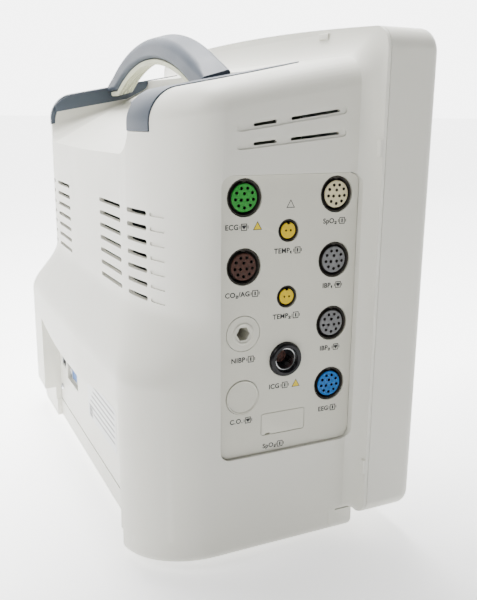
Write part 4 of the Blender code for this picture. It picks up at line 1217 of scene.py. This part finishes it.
def make_screen():
    """Printed black border on the glass."""
    face = FRONT_Y + 0.0008
    outline = rectangle(-0.1262, 0.1262, 0.0798, 0.2702, 0.002)
    window = rectangle(-0.1210, 0.1210, 0.0850, 0.2650, 0.001)
    border = slab("screen_border", outline, "XZ", face, face - 0.00005)
    carve(border, slab("window", window, "XZ", face - 0.001, face + 0.001))
    dress(border, "housing", "clear", finish=INK)


def key_sign(index, face):
    """Plain sign on a key: bars, a bell, a frame, a clock, a cuff and a square."""
    x, z = key_x(index), KEY_Z
    if index == 0:
        bars = [stroke((x - 0.003, z + d), (x + 0.003, z + d), 0.0007) for d in (-0.0018, 0.0, 0.0018)]
        return [mark(bar, "-Y", face) for bar in bars]
    if index == 1:
        bell = [(-0.0024, -0.0012), (0.0024, -0.0012), (0.0015, 0.0), (0.0013, 0.0016), (0.0, 0.0026)]
        bell += [(-0.0013, 0.0016), (-0.0015, 0.0)]
        clapper = stroke((x - 0.0006, z - 0.0020), (x + 0.0006, z - 0.0020), 0.0008)
        return [mark([(x + dx, z + dz) for dx, dz in bell], "-Y", face), mark(clapper, "-Y", face)]
    if index == 2:
        outer = rectangle(x - 0.003, x + 0.003, z - 0.0022, z + 0.0022)
        inner = rectangle(x - 0.0024, x + 0.0024, z - 0.0016, z + 0.0016)
        return [ring_mark(outer, inner, "-Y", face)]
    if index == 3:
        dial = polygon_ring((x, z), 0.0027, 0.0021, 32, 0, "-Y", face)
        hands = [stroke((x, z), (x, z + 0.0014), 0.0005), stroke((x, z), (x + 0.0010, z), 0.0005)]
        return [dial] + [mark(hand, "-Y", face) for hand in hands]
    if index == 4:
        cuff = polygon_ring((x, z), 0.0027, 0.0020, 32, 0, "-Y", face)
        return [cuff, mark(stroke((x - 0.0042, z), (x - 0.0027, z), 0.0006), "-Y", face)]
    return [mark(rectangle(x - 0.0018, x + 0.0018, z - 0.0018, z + 0.0018), "-Y", face)]


def make_keys():
    """Signs of the function keys, and the power key with its own sign."""
    for index in range(KEY_COUNT):
        name = "function_key_%d" % (index + 1)
        low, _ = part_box(name)
        signs = key_sign(index, low.y + INK_THICK * 0.3)
        dress(union(signs, name + "_sign"), name, "key", finish=WHITE_INK)
    profile = [
        (0.0, -0.0050), (0.0090, -0.0050), (0.0090, -0.0036), (0.0075, -0.0036), (0.0075, 0.0006),
        (0.0072, 0.0011), (0.0066, 0.0015), (0.0058, 0.0016), (0.0050, 0.0014), (0.0030, 0.0011),
        (0.0, 0.0010),
    ]
    key = turned("power_key_cap", profile, (POWER_X, FRONT_Y, KEY_Z), "-Y", 56)
    dress(soften(key, 0.0), "power_button", "key", "power_key")
    face = FRONT_Y - 0.0011
    ring = polygon_ring((POWER_X, KEY_Z), 0.0032, 0.0025, 40, 0, "-Y", face)
    gap = rectangle(POWER_X - 0.0010, POWER_X + 0.0010, KEY_Z + 0.001, KEY_Z + 0.005)
    carve(ring, slab("gap", gap, "XZ", face - 0.001, face + 0.001))
    bar = mark(stroke((POWER_X, KEY_Z + 0.0006), (POWER_X, KEY_Z + 0.0034), 0.0007), "-Y", face)
    dress(union([ring, bar], "power_sign"), "power_button", "key", finish=WHITE_INK)


def make_knob():
    """Control knob with a fluted side and a dished face."""
    low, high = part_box("control_knob")
    reach = high.y - low.y
    centre = (KNOB_X, high.y, KEY_Z)
    profile = [
        (0.0033, 0.0), (0.0136, 0.0), (0.0140, 0.0004), (0.0139, reach - 0.0030), (0.0136, reach - 0.0016),
        (0.0129, reach - 0.0005), (0.0120, reach), (0.0112, reach - 0.0002), (0.0096, reach - 0.0012),
        (0.0050, reach - 0.0018), (0.0, reach - 0.0019), (0.0, 0.0094), (0.0033, 0.0094),
    ]
    knob = turned("control_knob_cap", profile, centre, "-Y", 72)
    flutes = []
    for index in range(24):
        angle = math.radians(15.0 * index)
        place = (KNOB_X + 0.0146 * math.cos(angle), high.y - 0.0012, KEY_Z + 0.0146 * math.sin(angle))
        flutes.append(rod("flute", place, "-Y", 0.0011, reach, 12))
    carve(knob, union(flutes))
    dress(soften(knob, 0.0002, 40.0), "knob", "slate", "control_knob")
    dot = rod("knob_pointer", (KNOB_X, low.y + 0.0013, KEY_Z + 0.0095), "-Y", 0.0009, 0.0002, 20)
    dress(dot, "knob", "slate", finish=WHITE_INK)


# ---- rear connector bay -------------------------------------------------------------------
def make_rating_plate():
    """Foil label with plain lines and a small grid of squares."""
    face = IO_FACE_Y
    outline = rectangle(-0.074, -0.004, 0.040, 0.069, 0.0015)
    plate = slab("rating_plate", outline, "XZ", face - 0.0001, face + 0.00015)
    dress(plate, "housing", "housing", finish=FOIL)
    shapes = []
    for row in range(6):
        z = 0.0655 - 0.0040 * row
        right = -0.0075 - 0.0035 * ((row * 3) % 4)
        shapes.append(rectangle(-0.070, right, z - 0.0005, z + 0.0005))
    cell = 0.0011
    for column in range(7):
        for row in range(7):
            if (column * 5 + row * 3 + column * row) % 3 != 1:
                x, z = -0.0155 + cell * column, 0.0412 + cell * row
                shapes.append(rectangle(x, x + cell * 0.98, z, z + cell * 0.98))
    marks = [mark(shape, "+Y", face + 0.00012) for shape in shapes]
    dress(union(marks, "rating_lines"), "housing", "housing", finish=INK)


def make_jack_contacts():
    """Spring contacts inside the two stacked jacks."""
    low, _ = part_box("network_jack")
    contacts = []
    for z in (low.z + 0.0055, low.z + 0.0116):
        for index in range(8):
            x = low.x + 0.0030 + 0.00114 * index
            contacts.append(block("contact", (x, 0.0650, z - 0.0003), (x + 0.0005, 0.0725, z)))
    dress(soften(union(contacts, "jack_contacts"), 0.0), "housing", "steel")


def make_video_port():
    """Display connector: slanted metal shell, a pin block and two hexagonal posts."""
    low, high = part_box("video_port")
    face = 0.0700
    base = block("video_base", low, (high.x, face, high.z))
    dress(soften(base, 0.0003), "housing", "grey", "video_port")
    left, right = low.x + 0.0072, high.x - 0.0072
    z0, z1 = low.z + 0.0019, high.z - 0.0019
    outer = [(left + 0.0012, z0), (right - 0.0012, z0), (right, z1), (left, z1)]
    inner = [(left + 0.0017, z0 + 0.0005), (right - 0.0017, z0 + 0.0005)]
    inner += [(right - 0.0006, z1 - 0.0005), (left + 0.0006, z1 - 0.0005)]
    shell = slab("video_shell", outer, "XZ", 0.0701, 0.0745)
    carve(shell, slab("inside", inner, "XZ", 0.0690, 0.0760))
    dress(soften(shell, 0.0002), "housing", "steel")
    core = slab("video_core", inner, "XZ", 0.0701, 0.0738)
    holes = []
    for row in range(3):
        z = z0 + 0.0024 + (z1 - z0 - 0.0048) * row / 2
        for index in range(5):
            x = left + 0.0038 + (right - left - 0.0076) * index / 4
            holes.append(rod("pin", (x, 0.0715, z), "+Y", 0.0005, 0.004, 8))
    carve(core, union(holes))
    dress(soften(core, 0.0), "housing", "black", finish=FINISH["blue"])
    posts = []
    middle_z = 0.5 * (low.z + high.z)
    for x in (low.x + 0.0036, high.x - 0.0036):
        post = slab("post", polygon((x, middle_z), 0.0026, 6, 30), "XZ", 0.0701, 0.0742)
        carve(post, rod("bore", (x, 0.0715, middle_z), "+Y", 0.0013, 0.004, 20))
        posts.append(post)
    dress(soften(union(posts, "video_posts"), 0.0002), "housing", "steel")


def screw(centre, facing, radius=0.0030):
    """Pan-head screw with a cross recess."""
    profile = [(0.0, -0.0004), (radius, -0.0004), (radius, 0.0004)]
    profile += [(radius * 0.86, 0.0010), (radius * 0.55, 0.0014), (0.0, 0.0016)]
    head = turned("screw", profile, centre, facing, 32)
    along, across = (Vector(axis) for axis in FACINGS[facing])
    up = along.cross(across)
    middle = Vector(centre) + along * 0.0014
    for first, second in ((across, up), (up, across)):
        half = first * (radius * 0.62) + second * (radius * 0.14) + along * 0.0009
        ends = (middle - half, middle + half)
        low = [min(pair) for pair in zip(*ends)]
        high = [max(pair) for pair in zip(*ends)]
        carve(head, block("cross", low, high))
    return head


def make_screws():
    """Screws that hold the bay panel, the base and the mounting plate."""
    groups = (
        ("+Y", 0.0026, (-0.112, 0.0795), (IO_FACE_Y + 0.0001,), (0.032, 0.074)),
        ("-Z", 0.0030, (-0.088, 0.088), (-0.030, 0.060), (BOTTOM_Z + 0.0002,)),
        ("-Z", 0.0028, (-0.0375, 0.0375), (-0.0075, 0.0375), (0.0021,)),
    )
    heads = []
    for facing, radius, places_x, places_y, places_z in groups:
        heads += [screw((x, y, z), facing, radius) for x in places_x for y in places_y for z in places_z]
    dress(soften(union(heads, "screw_heads"), 0.00015, 40.0), "housing", "steel")


# ---- right side ---------------------------------------------------------------------------
def finger_grooves(start, end, width, heights):
    outlines = [stroke((start, z), (end, z), width) for z in heights]
    return union([slab("groove", outline, "YZ", BODY_HALF - 0.0005, SIDE_CUT[1]) for outline in outlines])


def make_door(name, node_name, *cutters):
    door = from_node(name, node_name, 0.0005, 3)
    for cutter in cutters:
        carve(door, cutter)
    dress(soften(door, 0.0), node_name, "housing", node_name)


def make_recorder():
    """Paper door with a toothed tear bar; behind it the roll, its carrier and the platen roller."""
    dish = rectangle(0.0, 0.0280, 0.1955, 0.2120, 0.005)
    dish = slab("finger_dish", dish, "YZ", BODY_HALF - 0.0006, SIDE_CUT[1])
    grooves = finger_grooves(-0.0120, 0.0400, 0.0012, (0.1400, 0.1430, 0.1460))
    make_door("recorder_lid", "recorder_door", dish, grooves)
    teeth = [(-0.0118 + 0.00129 * k, 0.1676 - (0.0007 if k % 2 else 0.0)) for k in range(41)]
    outline = [(0.0398, 0.1690), (-0.0118, 0.1690)] + teeth
    bar = slab("tear_bar", outline, "YZ", BODY_HALF - 0.0020, BODY_HALF - 0.0014)
    dress(soften(bar, 0.0), "recorder_door", "steel")
    turns = [(0.0007 * k, 0.00012 if k % 2 else 0.0) for k in range(1, 19)]
    profile = [(0.0060, -0.0288), (0.0065, -0.0290)]
    profile += [(0.0065 + out, -0.0290 + dip) for out, dip in turns]
    profile += [(0.0200, -0.0290), (0.0200, 0.0290)]
    profile += [(0.0200 - out, 0.0290 - dip) for out, dip in turns]
    profile += [(0.0060, 0.0290)]
    paper = turned("chart_roll", profile, (0.1225, 0.0140, 0.1560), "+Y", 64)
    dress(soften(paper, 0.0), "paper_roll", "paper", "paper_roll")
    carrier = soften(block("recorder_tray", (0.0950, -0.0210, 0.1262), (0.1450, 0.0490, 0.2140)), 0.0005)
    carve(carrier, block("paper_bay", (0.1000, -0.0180, 0.1320), (0.1600, 0.0460, 0.2110)))
    carve(carrier, block("sill", (0.1300, -0.0300, 0.1100), (0.1600, 0.0600, 0.1322)))
    dress(soften(carrier, 0.0), "housing", "grey", "recorder_body")
    outline = [(0.0, 0.0), (0.0047, 0.0), (0.0050, 0.0003)]
    for k in range(12):
        groove = 0.0035 + 0.0050 * k
        outline += [(0.0050, groove - 0.0002), (0.0048, groove - 0.0002)]
        outline += [(0.0048, groove + 0.0002), (0.0050, groove + 0.0002)]
    outline += [(0.0050, 0.0617), (0.0047, 0.0620), (0.0, 0.0620)]
    roller = turned("print_roller", outline, (0.1380, -0.0170, 0.1890), "+Y", 48)
    dress(soften(roller, 0.0), "platen_roller", "rubber", "platen_roller")


def make_battery_side():
    grooves = finger_grooves(-0.0230, 0.0130, 0.0014, (0.0500, 0.0540, 0.0580, 0.0620))
    make_door("battery_lid", "battery_door", grooves)
    low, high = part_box("battery_pack")
    outline = rectangle(low.y + 0.006, high.y - 0.006, low.z + 0.010, high.z - 0.010, 0.001)
    label = slab("battery_label", outline, "YZ", high.x - 0.0001, high.x + 0.0001)
    dress(label, "housing", "black", finish=FOIL)


def make_inlet_side():
    """Mains inlet with three metal pins, and the earth stud with its nut."""
    low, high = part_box("mains_inlet")
    body = slab("inlet_shell", rectangle(low.y, high.y, low.z, high.z, 0.0006), "YZ", low.x, high.x)
    y0, y1, z0, z1 = low.y + 0.0019, high.y - 0.0019, low.z + 0.0025, high.z - 0.0025
    corner = 0.0040
    mouth = [(y0, z0), (y1 - corner, z0), (y1, z0 + corner), (y1, z1 - corner), (y1 - corner, z1), (y0, z1)]
    carve(body, slab("mouth", mouth, "YZ", 0.1360, SIDE_CUT[1]))
    dress(soften(body, 0.0004), "housing", "black", "mains_inlet")
    pins = []
    for z in (0.0530, 0.0600, 0.0670):
        pin = block("pin", (0.1352, 0.0398, z - 0.0010), (0.1500, 0.0422, z + 0.0010))
        pins.append(soften(pin, 0.0006, 30.0, 3))
    dress(union(pins, "inlet_pins"), "housing", "steel")
    profile = [(0.0, -0.0160), (0.0032, -0.0160), (0.0032, -0.0006)]
    for k in range(8):
        profile += [(0.0024, -0.0002 + 0.0007 * k), (0.0021, 0.00015 + 0.0007 * k)]
    profile += [(0.0019, 0.0060), (0.0, 0.0060)]
    stud = turned("earth_stud", profile, (BODY_HALF, *STUD), "+X", 40)
    dress(soften(stud, 0.0), "housing", "steel", "ground_stud")
    nut = slab("earth_nut", polygon(STUD, 0.0046, 6, 30), "YZ", BODY_HALF + 0.0001, BODY_HALF + 0.0024)
    carve(nut, rod("bore", (0.150, *STUD), "+X", 0.0024, 0.01, 32))
    dress(soften(nut, 0.0003), "housing", "steel")


# ---- base ---------------------------------------------------------------------------------
FEET = ("foot_1", "foot_2", "foot_3", "foot_4")


def make_base():
    """Shallow pan with a rounded lower edge, seats for the feet and a row of drain slots."""
    rings = []
    height = BODY_Z0 - GAP - BOTTOM_Z
    for step in range(9):
        angle = math.radians(90.0 * step / 8)
        inset = 0.0008 + 0.0040 * (1.0 - math.sin(angle))
        lift = 0.0046 * (1.0 - math.cos(angle))
        rings.append([(x, y, BOTTOM_Z + lift) for x, y in plan_outline(1.0, inset, RIM_Y + inset)])
    rings.append([(x, y, BOTTOM_Z + height) for x, y in plan_outline(1.0, 0.0008, RIM_Y + 0.0008)])
    tray = skin("base_pan", rings)
    inner = plan_outline(1.0, 0.0042, RIM_Y + 0.0040)
    hollow = skin("pan_hollow", [[(x, y, z) for x, y in inner] for z in (BOTTOM_Z + 0.0060, 0.03)])
    under_bay = rectangle(IO_X[0] - WALL, IO_X[1] + WALL, BELOW, 0.05)
    carve(hollow, slab("bay", under_bay, "XZ", IO_FACE_Y - WALL, BEHIND))
    carve(hollow, wing_step_form(WALL + 0.0008))
    carve(tray, hollow)
    carve(tray, slab("bay", rectangle(*IO_X, BELOW, 0.05), "XZ", IO_FACE_Y, BEHIND))
    carve(tray, wing_step_form(0.0008))
    carve(tray, block("under_flange", (-0.170, RIM_Y - 0.005, BEZEL_Z[0] - GAP), (0.170, -0.0330, 0.030)))
    seats = []
    for name in FEET:
        low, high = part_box(name)
        middle = 0.5 * (low + high)
        seats.append(rod("seat", (middle.x, middle.y, BOTTOM_Z - 0.01), "+Z", 0.0085, 0.0128, 40))
    carve(tray, union(seats))
    seams = []
    for near, far in ((-0.170, -0.1519), (0.1519, 0.170)):
        seams.append(block("seam", (near, -0.0284, BOTTOM_Z - 0.001), (far, -0.0277, 0.030)))
    carve(tray, union(seams))
    slots = []
    for index in range(9):
        x = -0.032 + 0.008 * index
        outline = stroke((x, 0.052), (x, 0.066), 0.0024)
        slots.append(slab("slot", outline, "XY", BOTTOM_Z - 0.001, BOTTOM_Z + 0.0012))
    carve(tray, union(slots))
    dress(soften(tray, 0.0004, 34.0), "housing", "housing", "base_tray")
    for name in FEET:
        make_foot(name)
    make_mount_plate()


def make_foot(name):
    """Round rubber foot with a rounded tread and two grip rings."""
    low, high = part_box(name)
    middle = 0.5 * (low + high)
    profile = [
        (0.0, 0.0004), (0.0028, 0.0004), (0.0030, 0.0), (0.0036, 0.0), (0.0038, 0.0004),
        (0.0050, 0.0004), (0.0052, 0.0), (0.0068, 0.0), (0.0076, 0.0003), (0.0081, 0.0010),
        (0.0082, 0.0020), (0.0082, 0.0074), (0.0, 0.0074),
    ]
    foot = turned(name + "_pad", profile, (middle.x, middle.y, 0.0), "+Z", 48)
    dress(soften(foot, 0.0), "housing", "rubber", name)


def make_mount_plate():
    low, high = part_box("mount_plate")
    plate = slab("mounting_plate", rectangle(low.x, high.x, low.y, high.y, 0.004), "XY", low.z, high.z)
    middle_y = 0.5 * (low.y + high.y)
    slots = []
    for x in (-0.020, 0.020):
        outline = stroke((x, middle_y - 0.010), (x, middle_y + 0.010), 0.0050)
        slots.append(slab("keyhole", outline, "XY", low.z - 0.001, high.z + 0.001))
    carve(plate, union(slots))
    dress(soften(plate, 0.0004), "housing", "steel", "mount_plate")


# ---- inside -------------------------------------------------------------------------------
# new name, CAD node, body, slot, edge radius and steps across the edge
COPIED = (
    ("sensor_panel", "socket_panel", "housing", "panel", 0.0003, 2),
    ("screen_window", "screen_lens", "housing", "clear", 0.0003, 2),
    ("alarm_bar_lens", "alarm_lens", "housing", "amber", 0.0006, 3),
    ("bay_panel", "io_panel", "housing", "housing", 0.0003, 2),
    ("jack_cage", "network_jack", "housing", "steel", 0.0002, 2),
    ("recorder_latch", "recorder_button", "recorder_button", "key", 0.0006, 3),
    ("battery_lock", "battery_latch", "battery_latch", "key", 0.0005, 3),
    ("battery_cells", "battery_pack", "housing", "black", 0.0008, 3),
    ("roll_spindle", "paper_spindle", "housing", "black", 0.0004, 2),
    ("encoder_slide", "encoder_plunger", "encoder_plunger", "black", 0.0003, 2),
    ("encoder_axle", "encoder_shaft", "knob", "steel", 0.0003, 2),
)
MODULES = (
    ("lcd_module", "black"), ("encoder_body", "steel"), ("chassis_plate", "aluminium"),
    ("main_board", "board"), ("parameter_board", "board"), ("power_supply", "aluminium"),
    ("nibp_pump", "steel"), ("valve_block", "black"), ("heat_sink", "aluminium"), ("speaker", "black"),
)


def make_copies():
    """Pieces whose CAD shape only needs its edges rounded."""
    rows = list(COPIED)
    rows += [(name + "_unit", name, "housing", slot, 0.0004, 2) for name, slot in MODULES]
    for index in range(KEY_COUNT):
        name = "function_key_%d" % (index + 1)
        rows.append((name + "_cap", name, name, "key", 0.0005, 3))
    for new_name, node_name, body, slot, edge, steps in rows:
        dress(from_node(new_name, node_name, edge, steps), body, slot, node_name)


def make_board_parts():
    """Chips and capacitors that stand on the main board, seen through the vents."""
    _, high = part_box("main_board")
    chips = []
    for column in range(5):
        for row in range(4):
            if column in (1, 2) and row in (1, 2):
                continue
            x, z = -0.108 + 0.036 * column, 0.066 + 0.042 * row
            wide = 0.006 + 0.002 * ((column + row) % 3)
            chips.append(block("chip", (x, high.y, z), (x + wide, high.y + 0.0022, z + wide)))
    dress(soften(union(chips, "board_chips"), 0.0003), "housing", "black")
    profile = [(0.0, 0.0), (0.0035, 0.0), (0.0035, 0.0085), (0.0031, 0.0090), (0.0, 0.0090)]
    places = [(-0.095 + 0.030 * column, high.y, 0.055) for column in range(4)]
    cans = union([turned("can", profile, place, "+Y", 24) for place in places], "board_capacitors")
    dress(soften(cans, 0.0), "housing", "aluminium")


make_camera()
make_studio()
make_rear_housing()
make_catches()
make_handle()
make_grip()
for socket_name, socket_column, socket_height, socket_slot in SOCKETS:
    make_round_socket(socket_name, socket_column, socket_height, socket_slot)
make_temperature_socket("temp1_socket", MID_ROWS[0])
make_temperature_socket("temp2_socket", MID_ROWS[1])
make_cardiac_socket()
make_pressure_port()
make_blanks()
make_panel_printing()
make_bezel()
make_screen()
make_keys()
make_knob()
make_rating_plate()
make_jack_contacts()
make_video_port()
make_screws()
make_recorder()
make_battery_side()
make_inlet_side()
make_base()
make_copies()
make_board_parts()
